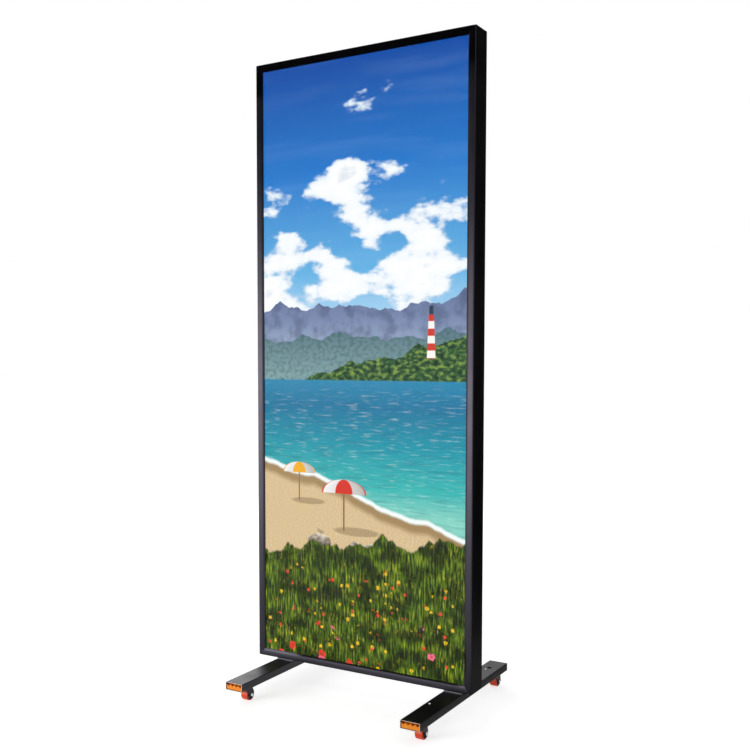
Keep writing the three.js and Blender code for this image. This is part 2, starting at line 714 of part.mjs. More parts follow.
// Head down, its seat at height zero
function footBolt() {
  const shank = FOOT_WALL + SEAT_GAP + BOX_BASE - FOOT_TOP + PROFILE_WALL + BOLT_REACH;
  const head = uprightRod(BOLT_HEAD_RADIUS, [-BOLT_HEAD_HEIGHT, 0], HEXAGON);
  return join(head, uprightRod(BOLT_RADIUS, [-BOLT_HEAD_HEIGHT / 2, shank], COARSE_FACETS));
}

// A stopper for the tube's front end: a full plate behind, and a lower step with notches in its top
function endInsert() {
  const width = FOOT_WIDTH - 2 * FOOT_WALL - 2 * SEAT_GAP;
  const height = FOOT_HEIGHT - 2 * FOOT_WALL - 2 * SEAT_GAP;
  const step = INSERT_STEP_HEIGHT;
  const stepEnd = INSERT_RECESS + INSERT_STEP_DEPTH;
  const plate = block(span(width), [stepEnd, INSERT_RECESS + INSERT_DEPTH], [0, height]);
  const stepBlock = block(span(width), [INSERT_RECESS, stepEnd + SEAT_GAP], [0, step]);
  const pitch = width / INSERT_NOTCH_COUNT;
  const notches = [];
  for (let i = 0; i < INSERT_NOTCH_COUNT; i++) {
    const x = (i - (INSERT_NOTCH_COUNT - 1) / 2) * pitch;
    const notch = polygon([
      [x - INSERT_NOTCH_WIDTH / 2, step + SEAT_GAP],
      [x, step - INSERT_NOTCH_DEPTH],
      [x + INSERT_NOTCH_WIDTH / 2, step + SEAT_GAP],
    ]);
    notches.push(extrudeAlongDepth(notch, [INSERT_RECESS - CUT_OVERRUN, stepEnd]));
  }
  return join(cut(stepBlock, notches), plate);
}

// Castor heights above the floor
const TOP_PLATE_LEVEL = CASTOR_HEIGHT - SEAT_GAP - TOP_PLATE_THICKNESS;
const RACEWAY_LEVEL = TOP_PLATE_LEVEL - RACEWAY_HEIGHT;
const CROWN_TOP = RACEWAY_LEVEL - SEAT_GAP;
const CROWN_LEVEL = CROWN_TOP - FORK_WALL;
const FORK_INNER = WHEEL_WIDTH / 2 + FORK_SIDE_CLEARANCE;
const FORK_OUTER = FORK_INNER + FORK_WALL;

// Plate, raceway and king pin are riveted into one unit
function castorPlate() {
  const plate = block(span(TOP_PLATE_WIDTH), span(TOP_PLATE_LENGTH),
    [TOP_PLATE_LEVEL, TOP_PLATE_LEVEL + TOP_PLATE_THICKNESS]);
  const insidePlate = TOP_PLATE_LEVEL + TOP_PLATE_THICKNESS / 2;
  const raceway = uprightRod(RACEWAY_RADIUS, [RACEWAY_LEVEL, insidePlate], PLAIN_FACETS);
  const headTop = CROWN_LEVEL - SEAT_GAP;
  const insideHead = headTop - KING_PIN_HEAD_HEIGHT / 2;
  const pin = uprightRod(KING_PIN_RADIUS, [insideHead, TOP_PLATE_LEVEL], COARSE_FACETS);
  const head = uprightRod(KING_PIN_HEAD_RADIUS, [headTop - KING_PIN_HEAD_HEIGHT, headTop], COARSE_FACETS);
  return join(plate, raceway, pin, head);
}

// A round-nosed crown with a leg on each side, down to the axle behind the king pin
function castorFork() {
  const nose = new THREE.Shape();
  nose.moveTo(FORK_OUTER, FORK_TAIL);
  nose.lineTo(-FORK_OUTER, FORK_TAIL);
  nose.absarc(0, 0, FORK_OUTER, Math.PI, 2 * Math.PI, false);
  nose.closePath();
  const crown = extrude(nose, FORK_WALL).translate(0, 0, CROWN_LEVEL);

  const side = new THREE.Shape();
  side.moveTo(-FORK_NOSE, CROWN_TOP);
  side.lineTo(-FORK_NOSE, CROWN_LEVEL);
  side.absarc(CASTOR_TRAIL, WHEEL_RADIUS, FORK_AXLE_EYE, Math.PI, 2 * Math.PI, false);
  side.lineTo(FORK_TAIL, CROWN_TOP);
  side.closePath();
  const legMiddle = (FORK_INNER + FORK_OUTER) / 2;
  const legs = [-legMiddle, legMiddle].map((middle) => extrudeAlongWidth(side, span(FORK_WALL, middle)));
  const bore = crossRod(AXLE_RADIUS + SEAT_GAP, span(2 * FORK_OUTER + 2 * CUT_OVERRUN), COARSE_FACETS);
  const pinHole = uprightRod(KING_PIN_RADIUS + SEAT_GAP,
    [CROWN_LEVEL - CUT_OVERRUN, CROWN_TOP + CUT_OVERRUN], COARSE_FACETS);
  return cut(join(crown, ...legs), [bore.translate(0, CASTOR_TRAIL, WHEEL_RADIUS), pinHole]);
}

// An elastic ring with round shoulders
function castorTread() {
  const half = WHEEL_WIDTH / 2;
  const inner = WHEEL_RADIUS - TREAD_THICKNESS;
  const points = [[-half, inner]];
  for (const way of [-1, 1]) {
    for (let i = 0; i <= SHOULDER_STEPS; i++) {
      const turn = way < 0 ? SHOULDER_STEPS - i : i;
      const angle = (turn / SHOULDER_STEPS) * (Math.PI / 2);
      points.push([
        way * (half - TREAD_SHOULDER + TREAD_SHOULDER * Math.sin(angle)),
        WHEEL_RADIUS - TREAD_SHOULDER + TREAD_SHOULDER * Math.cos(angle),
      ]);
    }
  }
  points.push([half, inner]);
  return turned(points, FINE_FACETS);
}

// A hub with a rim, a recessed web and a boss that runs against the fork
function castorHub() {
  const half = WHEEL_WIDTH / 2;
  const rim = WHEEL_RADIUS - TREAD_THICKNESS - SEAT_GAP;
  const bore = AXLE_RADIUS + SEAT_GAP;
  const boss = half + HUB_BOSS_PROUD;
  const web = half - HUB_RECESS;
  const side = [
    [half, rim],
    [half, rim - HUB_RIM_WALL],
    [web, rim - HUB_RIM_WALL],
    [web, HUB_BOSS_RADIUS],
    [boss, HUB_BOSS_RADIUS],
    [boss, bore],
  ];
  const mirrored = side.map(([along, radius]) => [-along, radius]).reverse();
  return turned([...side, ...mirrored], PLAIN_FACETS);
}

// A plain pin with a riveted head at each end
function castorAxle() {
  const seat = FORK_OUTER + SEAT_GAP;
  const tip = seat + AXLE_HEAD_LENGTH;
  return turned([
    [-tip, 0],
    [-tip, AXLE_RADIUS],
    [-seat - AXLE_HEAD_LENGTH / 2, AXLE_HEAD_RADIUS],
    [-seat, AXLE_HEAD_RADIUS],
    [-seat, AXLE_RADIUS],
    [seat, AXLE_RADIUS],
    [seat, AXLE_HEAD_RADIUS],
    [seat + AXLE_HEAD_LENGTH / 2, AXLE_HEAD_RADIUS],
    [tip, AXLE_RADIUS],
    [tip, 0],
  ], PLAIN_FACETS);
}

function addCastor(parent, name, x, y) {
  const castor = new THREE.Group();
  castor.position.set(x, y, 0);
  parent.add(castor);
  addPiece(castor, `castor_plate_${name}`, castorPlate(), 'powderedSteel');
  addPiece(castor, `castor_fork_${name}`, castorFork(), 'powderedSteel');

  const wheel = new THREE.Group();
  wheel.position.set(0, CASTOR_TRAIL, WHEEL_RADIUS);
  castor.add(wheel);
  addPiece(wheel, `castor_tread_${name}`, castorTread(), 'redTread');
  addPiece(wheel, `castor_hub_${name}`, castorHub(), 'hubPlastic');
  addPiece(wheel, `castor_axle_${name}`, castorAxle(), 'zincSteel');
}

function addFoot(parent, { side, x }) {
  const boltY = BOLT_DEPTH - BOX_DEPTH / 2;
  addPiece(parent, `foot_${side}`, foot().translate(x, 0, CASTOR_HEIGHT), 'powderedSteel');
  const plate = mountingPlate().translate(x, 0, FOOT_TOP + SEAT_GAP);
  addPiece(parent, `mounting_plate_${side}`, plate, 'zincSteel');
  for (const [place, way] of [['outer', Math.sign(x)], ['inner', -Math.sign(x)]]) {
    const bolt = footBolt().translate(x + way * BOLT_SPREAD, boltY, FOOT_TOP - FOOT_WALL - SEAT_GAP);
    addPiece(parent, `foot_bolt_${side}_${place}`, bolt, 'zincSteel');
  }
  for (const { end, way } of FOOT_ENDS) {
    const insert = new THREE.Group();
    insert.position.set(x, way * (FOOT_LENGTH / 2), CASTOR_HEIGHT + FOOT_WALL + SEAT_GAP);
    insert.rotation.z = way < 0 ? 0 : Math.PI;
    parent.add(insert);
    addPiece(insert, `end_insert_${side}_${end}`, endInsert(), 'amberPlastic');
    addCastor(parent, `${side}_${end}`, x, way * (FOOT_LENGTH / 2 - CASTOR_FROM_END));
  }
}

const lightBox = new THREE.Group();

const cabinet = new THREE.Group();
cabinet.position.set(0, -BOX_DEPTH / 2, BOX_BASE);
lightBox.add(cabinet);
addSides(cabinet);
addPiece(cabinet, 'cover_sheet', sheet(COVER_DEPTH, COVER_THICKNESS), 'clearSheet');
addPiece(cabinet, 'graphic_print', sheet(PRINT_DEPTH, PRINT_THICKNESS), 'printedFilm');
addPiece(cabinet, 'diffuser_panel', sheet(DIFFUSER_DEPTH, DIFFUSER_THICKNESS), 'opalAcrylic');
addPiece(cabinet, 'back_panel', backPanel(), 'greyPanel');
addElectrics(cabinet);

for (const footPlace of FEET) {
  addFoot(lightBox, footPlace);
}

export default lightBox;
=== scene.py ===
import json
import math

import bmesh
import bpy
from mathutils import Matrix, Vector

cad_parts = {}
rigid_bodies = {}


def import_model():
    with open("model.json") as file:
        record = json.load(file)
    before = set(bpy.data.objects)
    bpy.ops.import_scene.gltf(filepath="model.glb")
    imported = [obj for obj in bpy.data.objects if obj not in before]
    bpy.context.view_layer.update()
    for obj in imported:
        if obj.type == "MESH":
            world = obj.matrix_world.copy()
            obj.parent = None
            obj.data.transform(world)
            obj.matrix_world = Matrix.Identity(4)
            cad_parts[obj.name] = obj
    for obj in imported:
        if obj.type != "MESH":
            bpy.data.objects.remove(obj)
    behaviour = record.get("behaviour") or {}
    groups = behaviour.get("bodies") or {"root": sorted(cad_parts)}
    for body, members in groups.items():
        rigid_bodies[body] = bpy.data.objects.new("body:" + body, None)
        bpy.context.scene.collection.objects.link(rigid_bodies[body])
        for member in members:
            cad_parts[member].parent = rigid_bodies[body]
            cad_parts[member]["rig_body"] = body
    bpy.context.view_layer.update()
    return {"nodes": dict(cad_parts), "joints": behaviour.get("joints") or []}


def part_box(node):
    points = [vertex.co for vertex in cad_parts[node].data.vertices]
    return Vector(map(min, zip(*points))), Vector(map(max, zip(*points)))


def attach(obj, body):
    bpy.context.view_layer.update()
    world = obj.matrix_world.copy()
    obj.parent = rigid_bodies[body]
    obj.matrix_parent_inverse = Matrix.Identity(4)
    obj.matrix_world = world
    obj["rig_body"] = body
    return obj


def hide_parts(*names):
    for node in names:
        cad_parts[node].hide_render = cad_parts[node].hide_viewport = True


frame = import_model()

# A floor-standing LED light box on swivel castors, dressed over its CAD frame.
# Metres, Z up, with the lit front towards -Y.

scene = bpy.context.scene
MM = 0.001

SIDES = ("left", "top", "right", "bottom")
FEET = ("left", "right")
FOOT_ENDS = ("front", "rear")
CASTORS = [f"{foot}_{end}" for foot in FEET for end in FOOT_ENDS]
LED_BARS = (1, 2, 3, 4)

# Shading
SMOOTH_ANGLE = math.radians(50)
SHARP_ANGLE = math.radians(30)
FLAT_ANGLE = math.radians(1)
MERGE_DISTANCE = 0.001 * MM


# Colours and nodes

def linear(colour, alpha=1.0):
    """Turns an sRGB hex colour into linear red, green, blue and alpha."""
    parts = [(colour >> shift & 255) / 255 for shift in (16, 8, 0)]
    return (*[p / 12.92 if p <= 0.04045 else ((p + 0.055) / 1.055) ** 2.4 for p in parts], alpha)


def add_node(tree, kind, inputs=None, stops=(), **settings):
    """Adds a shader node with its settings, colour stops, and inputs as values or links."""
    new = tree.nodes.new("ShaderNode" + kind)
    for name, value in settings.items():
        setattr(new, name, value)
    for name, value in (inputs or {}).items():
        if isinstance(value, bpy.types.NodeSocket):
            tree.links.new(value, new.inputs[name])
        else:
            new.inputs[name].default_value = value
    for index, (position, colour) in enumerate(stops):
        if index >= len(new.color_ramp.elements):
            new.color_ramp.elements.new(position)
        new.color_ramp.elements[index].position = position
        new.color_ramp.elements[index].color = linear(colour)
    return new


def new_material(name, colour, roughness, sockets=None):
    """Starts a material, with its constants on the shader's own sockets."""
    material = bpy.data.materials.new(name)
    material.use_nodes = True
    tree = material.node_tree
    shader = tree.nodes["Principled BSDF"]
    constants = {"Base Color": linear(colour), "Roughness": roughness, **(sockets or {})}
    for socket, value in constants.items():
        shader.inputs[socket].default_value = value
    return material, tree, shader


def add_grain(tree, shader, size, height, detail=2.0):
    """Roughens a surface with grains of a real size and height."""
    place = add_node(tree, "TexCoord").outputs["Object"]
    noise = add_node(tree, "TexNoise", {"Vector": place, "Scale": 1 / size, "Detail": detail})
    bump = add_node(tree, "Bump", {"Height": noise.outputs[0], "Distance": height, "Strength": 1.0})
    tree.links.new(bump.outputs["Normal"], shader.inputs["Normal"])
    return place


def vary_roughness(tree, shader, place, size, low, high):
    """Lets the sheen drift a little over the surface, as handled and cured coatings do."""
    noise = add_node(tree, "TexNoise", {"Vector": place, "Scale": 1 / size, "Detail": 4.0})
    sheen = add_node(tree, "MapRange", {
        "Value": noise.outputs[0], "From Min": 0.3, "From Max": 0.7, "To Min": low, "To Max": high})
    tree.links.new(sheen.outputs["Result"], shader.inputs["Roughness"])


# Materials

def powder_coated_aluminium():
    """Extruded aluminium, powder coated satin black: a dark skin with a faint orange peel."""
    material, tree, shader = new_material("powder-coated aluminium, satin black", 0x09080A, 0.32, {
        "Specular IOR Level": 0.33, "Specular Tint": linear(0xEEE6FF)})
    # Orange peel of about 1.2 mm, drawn at 3 mm so that it shows from a few steps away
    place = add_grain(tree, shader, size=3 * MM, height=0.015 * MM)
    vary_roughness(tree, shader, place, size=90 * MM, low=0.28, high=0.36)
    return material


def powder_coated_steel():
    """Steel tube and pressings, powder coated black: a little duller than the frame."""
    material, tree, shader = new_material("powder-coated steel, black", 0x0C0C0E, 0.4, {
        "Specular IOR Level": 0.3, "Specular Tint": linear(0xEEEEFF)})
    place = add_grain(tree, shader, size=2.5 * MM, height=0.02 * MM)
    vary_roughness(tree, shader, place, size=60 * MM, low=0.36, high=0.46)
    return material


def mill_aluminium():
    """Aluminium as extruded: dull silver with a fine grain."""
    material, tree, shader = new_material("mill-finish aluminium", 0xC4C6C8, 0.42, {"Metallic": 1.0})
    add_grain(tree, shader, size=0.8 * MM, height=0.01 * MM)
    return material


def spring_steel():
    """Cold-rolled spring strip, bare and bright."""
    material, tree, shader = new_material("rolled spring steel", 0xB4B6B9, 0.28, {"Metallic": 1.0})
    add_grain(tree, shader, size=0.6 * MM, height=0.004 * MM)
    return material


def zinc_plated_steel():
    """Bright zinc on steel: a cool silver that clouds slightly."""
    material, tree, shader = new_material("zinc-plated steel", 0xD2D5D8, 0.3, {"Metallic": 1.0})
    place = add_grain(tree, shader, size=0.7 * MM, height=0.006 * MM)
    vary_roughness(tree, shader, place, size=6 * MM, low=0.22, high=0.38)
    return material


def galvanised_steel():
    """Hot-dip galvanised plate, weathered to a dull grey."""
    material, tree, shader = new_material("galvanised steel", 0x7C7E82, 0.5, {"Metallic": 1.0})
    place = add_grain(tree, shader, size=2 * MM, height=0.01 * MM)
    vary_roughness(tree, shader, place, size=12 * MM, low=0.42, high=0.58)
    return material


def sawn_steel():
    """The sawn end of a steel tube: bare metal, rough and faintly brown."""
    material, tree, shader = new_material("sawn mild steel", 0xA89A90, 0.55, {"Metallic": 1.0})
    add_grain(tree, shader, size=0.5 * MM, height=0.03 * MM)
    return material


def nickel_plated_brass():
    """Contact pins: smooth, warm silver."""
    return new_material("nickel-plated brass", 0xC9C2B2, 0.2, {"Metallic": 1.0})[0]


def clear_polyester_sheet():
    """Extruded clear polyester sheet with an anti-glare face, which hardly mirrors the room."""
    # The low IOR stands for the anti-glare face
    return new_material("clear polyester sheet, anti-glare", 0xFFFFFF, 0.15, {
        "Transmission Weight": 1.0, "IOR": 1.05})[0]


def opal_acrylic():
    """Cast opal acrylic: an even milky glow from the lamps behind it."""
    return new_material("opal acrylic", 0xF3F4F2, 0.4, {
        "Emission Color": linear(0xFFFFFF), "Emission Strength": 0.6})[0]


def rigid_pvc_board():
    """Pressed rigid PVC board, dark grey: a matt skin with a faint leather grain."""
    material, tree, shader = new_material("rigid PVC board, dark grey", 0x3B3C3F, 0.6)
    place = add_grain(tree, shader, size=2 * MM, height=0.03 * MM, detail=5.0)
    vary_roughness(tree, shader, place, size=120 * MM, low=0.52, high=0.68)
    return material


def white_circuit_board():
    """Aluminium-backed circuit board under white solder mask."""
    return new_material("white solder mask", 0xEDEFEA, 0.45)[0]


def lens_polycarbonate():
    """Moulded clear polycarbonate lenses, lit by the chips under them."""
    return new_material("moulded clear polycarbonate", 0xF4F6F4, 0.12, {
        "Emission Color": linear(0xFFF8EC), "Emission Strength": 1.0, "IOR": 1.58})[0]


def moulded_black_nylon():
    """Moulded black nylon with a spark-eroded matt skin."""
    material, tree, shader = new_material("moulded nylon, black", 0x141416, 0.48)
    add_grain(tree, shader, size=0.5 * MM, height=0.02 * MM)
    return material


def glass_filled_nylon():
    """Wheel hubs of glass-filled nylon, dark warm grey with a dry sheen."""
    material, tree, shader = new_material("glass-filled nylon, dark grey", 0x4A4546, 0.5)
    add_grain(tree, shader, size=0.6 * MM, height=0.02 * MM)
    return material


def cast_polyurethane():
    """Cast polyurethane tread, orange-red and slightly see-through at its surface."""
    material, tree, shader = new_material("cast polyurethane, orange-red", 0xE04414, 0.38, {
        "Specular IOR Level": 0.35, "Subsurface Weight": 0.15, "Subsurface Scale": 2 * MM,
        "Subsurface Radius": (1.0, 0.3, 0.15)})
    place = add_grain(tree, shader, size=1.2 * MM, height=0.012 * MM)
    vary_roughness(tree, shader, place, size=8 * MM, low=0.32, high=0.46)
    return material


def moulded_amber_polypropylene():
    """Moulded polypropylene, amber: waxy, and light gets a little way in."""
    material, tree, shader = new_material("moulded polypropylene, amber", 0xE98818, 0.42, {
        "Specular IOR Level": 0.35, "Subsurface Weight": 0.2, "Subsurface Scale": 2 * MM,
        "Subsurface Radius": (1.0, 0.5, 0.15)})
    add_grain(tree, shader, size=0.8 * MM, height=0.015 * MM)
    return material


def white_legend_ink():
    """Pad-printed white marks on the switch."""
    return new_material("pad-printed white ink", 0xE8E8E4, 0.5)[0]


# The picture on the film

# It is a bay in summer, layered from the sky down to the meadow.
# Heights are above the floor, in metres, as the film hangs in the frame.
HORIZON = 1.03


def under_line(tree, place, height, swing=0.0, pitch=1.0, detail=3.0, blur=1.5 * MM, tilt=0.0,
               start=0.0):
    """Masks what lies under a line, straight or wandering, across the picture."""
    across = add_node(tree, "Mapping", {
        "Vector": place, "Location": (start, 0, 0), "Scale": (1 / pitch, 0, 0)})
    wander = add_node(tree, "TexNoise", {"Vector": across.outputs[0], "Scale": 1.0, "Detail": detail})
    line = add_node(tree, "MapRange", {
        "Value": wander.outputs[0], "From Min": 0.25, "From Max": 0.75,
        "To Min": height - swing, "To Max": height + swing}, clamp=False)
    parts = add_node(tree, "SeparateXYZ", {"Vector": place})
    slope = add_node(tree, "Math", {0: parts.outputs["X"], 1: tilt, 2: line.outputs["Result"]},
                     operation="MULTIPLY_ADD")
    below = add_node(tree, "Math", {0: slope.outputs[0], 1: parts.outputs["Z"]},
                     operation="SUBTRACT")
    mask = add_node(tree, "MapRange", {"Value": below.outputs[0], "From Min": -blur, "From Max": blur},
                    interpolation_type="SMOOTHSTEP")
    return mask.outputs["Result"]


def lay_over(tree, picture, motif, *masks):
    """Prints a motif over the picture so far, where all its masks are white."""
    shown = masks[0]
    for mask in masks[1:]:
        shown = add_node(tree, "Math", {0: shown, 1: mask}, operation="MULTIPLY").outputs[0]
    colour = linear(motif) if isinstance(motif, int) else motif
    return add_node(tree, "Mix", {0: shown, 6: picture, 7: colour}, data_type="RGBA").outputs[2]


def shade_by_height(tree, place, low, high, stops):
    """Colours that change with the height in the picture."""
    up = add_node(tree, "SeparateXYZ", {"Vector": place}).outputs["Z"]
    share = add_node(tree, "MapRange", {"Value": up, "From Min": low, "From Max": high})
    return add_node(tree, "ValToRGB", {"Fac": share.outputs["Result"]}, stops).outputs["Color"]


def dapple(tree, place, width, height, stops, detail=5.0, start=0.0):
    """Colours that change over patches of a given width and height."""
    patches = add_node(tree, "Mapping", {
        "Vector": place, "Location": (start, 0, 0), "Scale": (1 / width, 0, 1 / height)})
    noise = add_node(tree, "TexNoise", {
        "Vector": patches.outputs[0], "Scale": 1.0, "Detail": detail})
    return add_node(tree, "ValToRGB", {"Fac": noise.outputs[0]}, stops).outputs["Color"]


def cumulus(tree, place, picture):
    """Heaped white clouds, grey-blue at their edges and hearts, over thin veils."""
    veil = dapple(tree, place, width=0.5, height=0.05, detail=6.0, start=3.1, stops=(
        (0.5, 0x000000), (0.85, 0x5C5C5C)))
    picture = lay_over(tree, picture, 0xB4E2FF, veil)
    lowest, highest, crowding = 1.3, 1.95, 0.1
    edge, solid = 0.53, 0.585
    patches = add_node(tree, "Mapping", {
        "Vector": place, "Location": (1.7, 0, 0), "Scale": (4.2, 0, 7.5)})
    heap = add_node(tree, "TexNoise", {
        "Vector": patches.outputs[0], "Scale": 1.0, "Detail": 9.0, "Roughness": 0.52})
    up = add_node(tree, "SeparateXYZ", {"Vector": place}).outputs["Z"]
    bias = add_node(tree, "MapRange", {
        "Value": up, "From Min": lowest, "From Max": highest,
        "To Min": crowding, "To Max": -crowding})
    body = add_node(tree, "Math", {0: heap.outputs[0], 1: bias.outputs["Result"]},
                    operation="ADD").outputs[0]
    mask = add_node(tree, "MapRange", {"Value": body, "From Min": edge, "From Max": solid},
                    interpolation_type="SMOOTHSTEP").outputs["Result"]
    shade = add_node(tree, "ValToRGB", {"Fac": body}, (
        (0.54, 0xB9D3EA), (0.6, 0xF4F9FD), (0.68, 0xFFFFFF), (0.78, 0xC3D2E2))).outputs["Color"]
    return lay_over(tree, picture, shade, mask)


def hills(tree, place, picture):
    """Three ranges, gullied slate behind and wooded green in front."""
    far = shade_by_height(tree, place, low=1.08, high=1.38, stops=(
        (0.0, 0xA3B6CC), (0.5, 0x7586AC), (1.0, 0x515D88)))
    ridge = under_line(tree, place, height=1.27, swing=0.075, pitch=0.26, detail=7.0)
    picture = lay_over(tree, picture, far, ridge)
    gullies = dapple(tree, place, width=0.05, height=0.06, detail=8.0, start=5.2, stops=(
        (0.45, 0x000000), (0.6, 0xB8B8B8)))
    picture = lay_over(tree, picture, 0x3B4468, gullies, ridge)
    middle_range = shade_by_height(tree, place, low=1.04, high=1.25, stops=(
        (0.0, 0x7DA0A4), (1.0, 0x3A5C6E)))
    spur = under_line(tree, place, height=1.17, swing=0.05, pitch=0.19, detail=8.0, start=4.0)
    picture = lay_over(tree, picture, middle_range, spur)
    pines = dapple(tree, place, width=0.016, height=0.013, detail=4.0, start=8.3, stops=(
        (0.45, 0x000000), (0.6, 0xA0A0A0)))
    picture = lay_over(tree, picture, 0x24463F, pines, spur)
    woods = dapple(tree, place, width=0.02, height=0.012, stops=(
        (0.35, 0x10291A), (0.5, 0x28552C), (0.65, 0x7C9C3E)))
    near = under_line(tree, place, height=1.085, swing=0.03, pitch=0.09, detail=9.0, tilt=0.22,
                      start=9.0)
    return lay_over(tree, picture, woods, near)


def sea(tree, place, picture):
    """Turquoise water, deep under the far shore and pale over the shallows."""
    depth = shade_by_height(tree, place, low=0.6, high=HORIZON, stops=(
        (0.0, 0x86D4C4), (0.2, 0x35B7B4), (0.5, 0x0D96AA), (0.8, 0x0C749E), (1.0, 0x1F86B0)))
    picture = lay_over(tree, picture, depth, under_line(tree, place, HORIZON))
    fade = 30 * MM
    open_water = under_line(tree, place, HORIZON - fade, blur=fade)
    ripples = dapple(tree, place, width=0.05, height=0.006, detail=4.0, stops=(
        (0.56, 0x000000), (0.72, 0x9A9A9A)))
    picture = lay_over(tree, picture, 0xDDF8F4, ripples, open_water)
    troughs = dapple(tree, place, width=0.11, height=0.012, detail=5.0, start=7.7, stops=(
        (0.5, 0x000000), (0.7, 0xA0A0A0)))
    return lay_over(tree, picture, 0x0A5C78, troughs, open_water)


def lighthouse(tree, place, picture):
    """A white tower with red bands and a dark lantern, on the headland at the right."""
    centre, foot, lantern, cap = 0.255, 1.1, 1.235, 1.262
    foot_half, top_half, lantern_half = 15 * MM, 9 * MM, 7 * MM
    band_pitch, band_height = 45 * MM, 22 * MM
    parts = add_node(tree, "SeparateXYZ", {"Vector": place})
    up = parts.outputs["Z"]
    offset = add_node(tree, "Math", {0: parts.outputs["X"], 1: centre}, operation="SUBTRACT")
    aside = add_node(tree, "Math", {0: offset.outputs[0]}, operation="ABSOLUTE").outputs[0]
    taper = add_node(tree, "MapRange", {
        "Value": up, "From Min": foot, "From Max": lantern, "To Min": foot_half, "To Max": top_half})
    inside = add_node(tree, "Math", {0: aside, 1: taper.outputs["Result"]},
                      operation="LESS_THAN").outputs[0]
    above = add_node(tree, "Math", {0: up, 1: foot}, operation="GREATER_THAN").outputs[0]
    under = add_node(tree, "Math", {0: up, 1: lantern}, operation="LESS_THAN").outputs[0]
    picture = lay_over(tree, picture, 0xF7F4EE, inside, above, under)
    repeat = add_node(tree, "Math", {0: up, 1: band_pitch, 2: 0.0}, operation="WRAP").outputs[0]
    bands = add_node(tree, "Math", {0: repeat, 1: band_height}, operation="LESS_THAN").outputs[0]
    picture = lay_over(tree, picture, 0xD23A2C, inside, above, under, bands)
    narrow = add_node(tree, "Math", {0: aside, 1: lantern_half}, operation="LESS_THAN").outputs[0]
    over = add_node(tree, "Math", {0: up, 1: lantern}, operation="GREATER_THAN").outputs[0]
    capped = add_node(tree, "Math", {0: up, 1: cap}, operation="LESS_THAN").outputs[0]
    return lay_over(tree, picture, 0x2B3A4A, narrow, over, capped)


def parasol(tree, place, picture, x, z, radius, colour):
    """A striped beach parasol on a pole, with its shade on the sand."""
    rise = 0.55 * radius
    # Shares of the canopy's radius and rise
    pole_half, pole_foot = 0.035, -2.6
    # Angles round the canopy
    stripe_pitch, widest_turn = 0.8, 1.6
    spot = add_node(tree, "Mapping", {
        "Vector": place, "Location": (-x / radius, 0, -z / rise), "Scale": (1 / radius, 0, 1 / rise)})
    parts = add_node(tree, "SeparateXYZ", {"Vector": spot.outputs[0]})
    across, up = parts.outputs["X"], parts.outputs["Z"]
    oval = add_node(tree, "Mapping", {
        "Vector": spot.outputs[0], "Location": (-0.5, 0, 7.8), "Scale": (0.9, 0, 3.0)})
    reach = add_node(tree, "VectorMath", {0: oval.outputs[0]}, operation="LENGTH")
    shade = add_node(tree, "MapRange", {
        "Value": reach.outputs["Value"], "From Min": 1.0, "From Max": 0.8, "To Max": 0.45})
    picture = lay_over(tree, picture, 0x6B5232, shade.outputs["Result"])
    aside = add_node(tree, "Math", {0: across}, operation="ABSOLUTE").outputs[0]
    thin = add_node(tree, "Math", {0: aside, 1: pole_half}, operation="LESS_THAN").outputs[0]
    above = add_node(tree, "Math", {0: up, 1: pole_foot}, operation="GREATER_THAN").outputs[0]
    under = add_node(tree, "Math", {0: up, 1: 0.0}, operation="LESS_THAN").outputs[0]
    picture = lay_over(tree, picture, 0x8A6A45, thin, above, under)
    # The canopy is half an ellipse, and its stripes narrow towards its sides
    square = add_node(tree, "Math", {0: up, 1: up}, operation="MULTIPLY").outputs[0]
    rest = add_node(tree, "Math", {0: 1.0, 1: square}, operation="SUBTRACT").outputs[0]
    width = add_node(tree, "Math", {0: rest}, operation="SQRT").outputs[0]
    share = add_node(tree, "Math", {0: across, 1: width}, operation="DIVIDE").outputs[0]
    inside = add_node(tree, "Math", {0: aside, 1: width}, operation="LESS_THAN").outputs[0]
    over = add_node(tree, "Math", {0: up, 1: 0.0}, operation="GREATER_THAN").outputs[0]
    turn = add_node(tree, "Math", {0: share}, operation="ARCSINE").outputs[0]
    light = add_node(tree, "MapRange", {
        "Value": turn, "From Min": -widest_turn, "From Max": widest_turn})
    white = add_node(tree, "ValToRGB", {"Fac": light.outputs["Result"]}, (
        (0.0, 0xFFFFFF), (1.0, 0xA9A39B))).outputs["Color"]
    picture = lay_over(tree, picture, white, inside, over)
    stripe = add_node(tree, "Math", {0: turn, 1: stripe_pitch}, operation="PINGPONG").outputs[0]
    narrow = add_node(tree, "Math", {0: stripe, 1: stripe_pitch / 2}, operation="LESS_THAN").outputs[0]
    return lay_over(tree, picture, colour, inside, over, narrow)


def parasols(tree, place, picture):
    """A red and a yellow parasol on the beach."""
    picture = parasol(tree, place, picture, x=-0.06, z=0.66, radius=85 * MM, colour=0xD8301F)
    return parasol(tree, place, picture, x=-0.235, z=0.72, radius=65 * MM, colour=0xF2B01E)


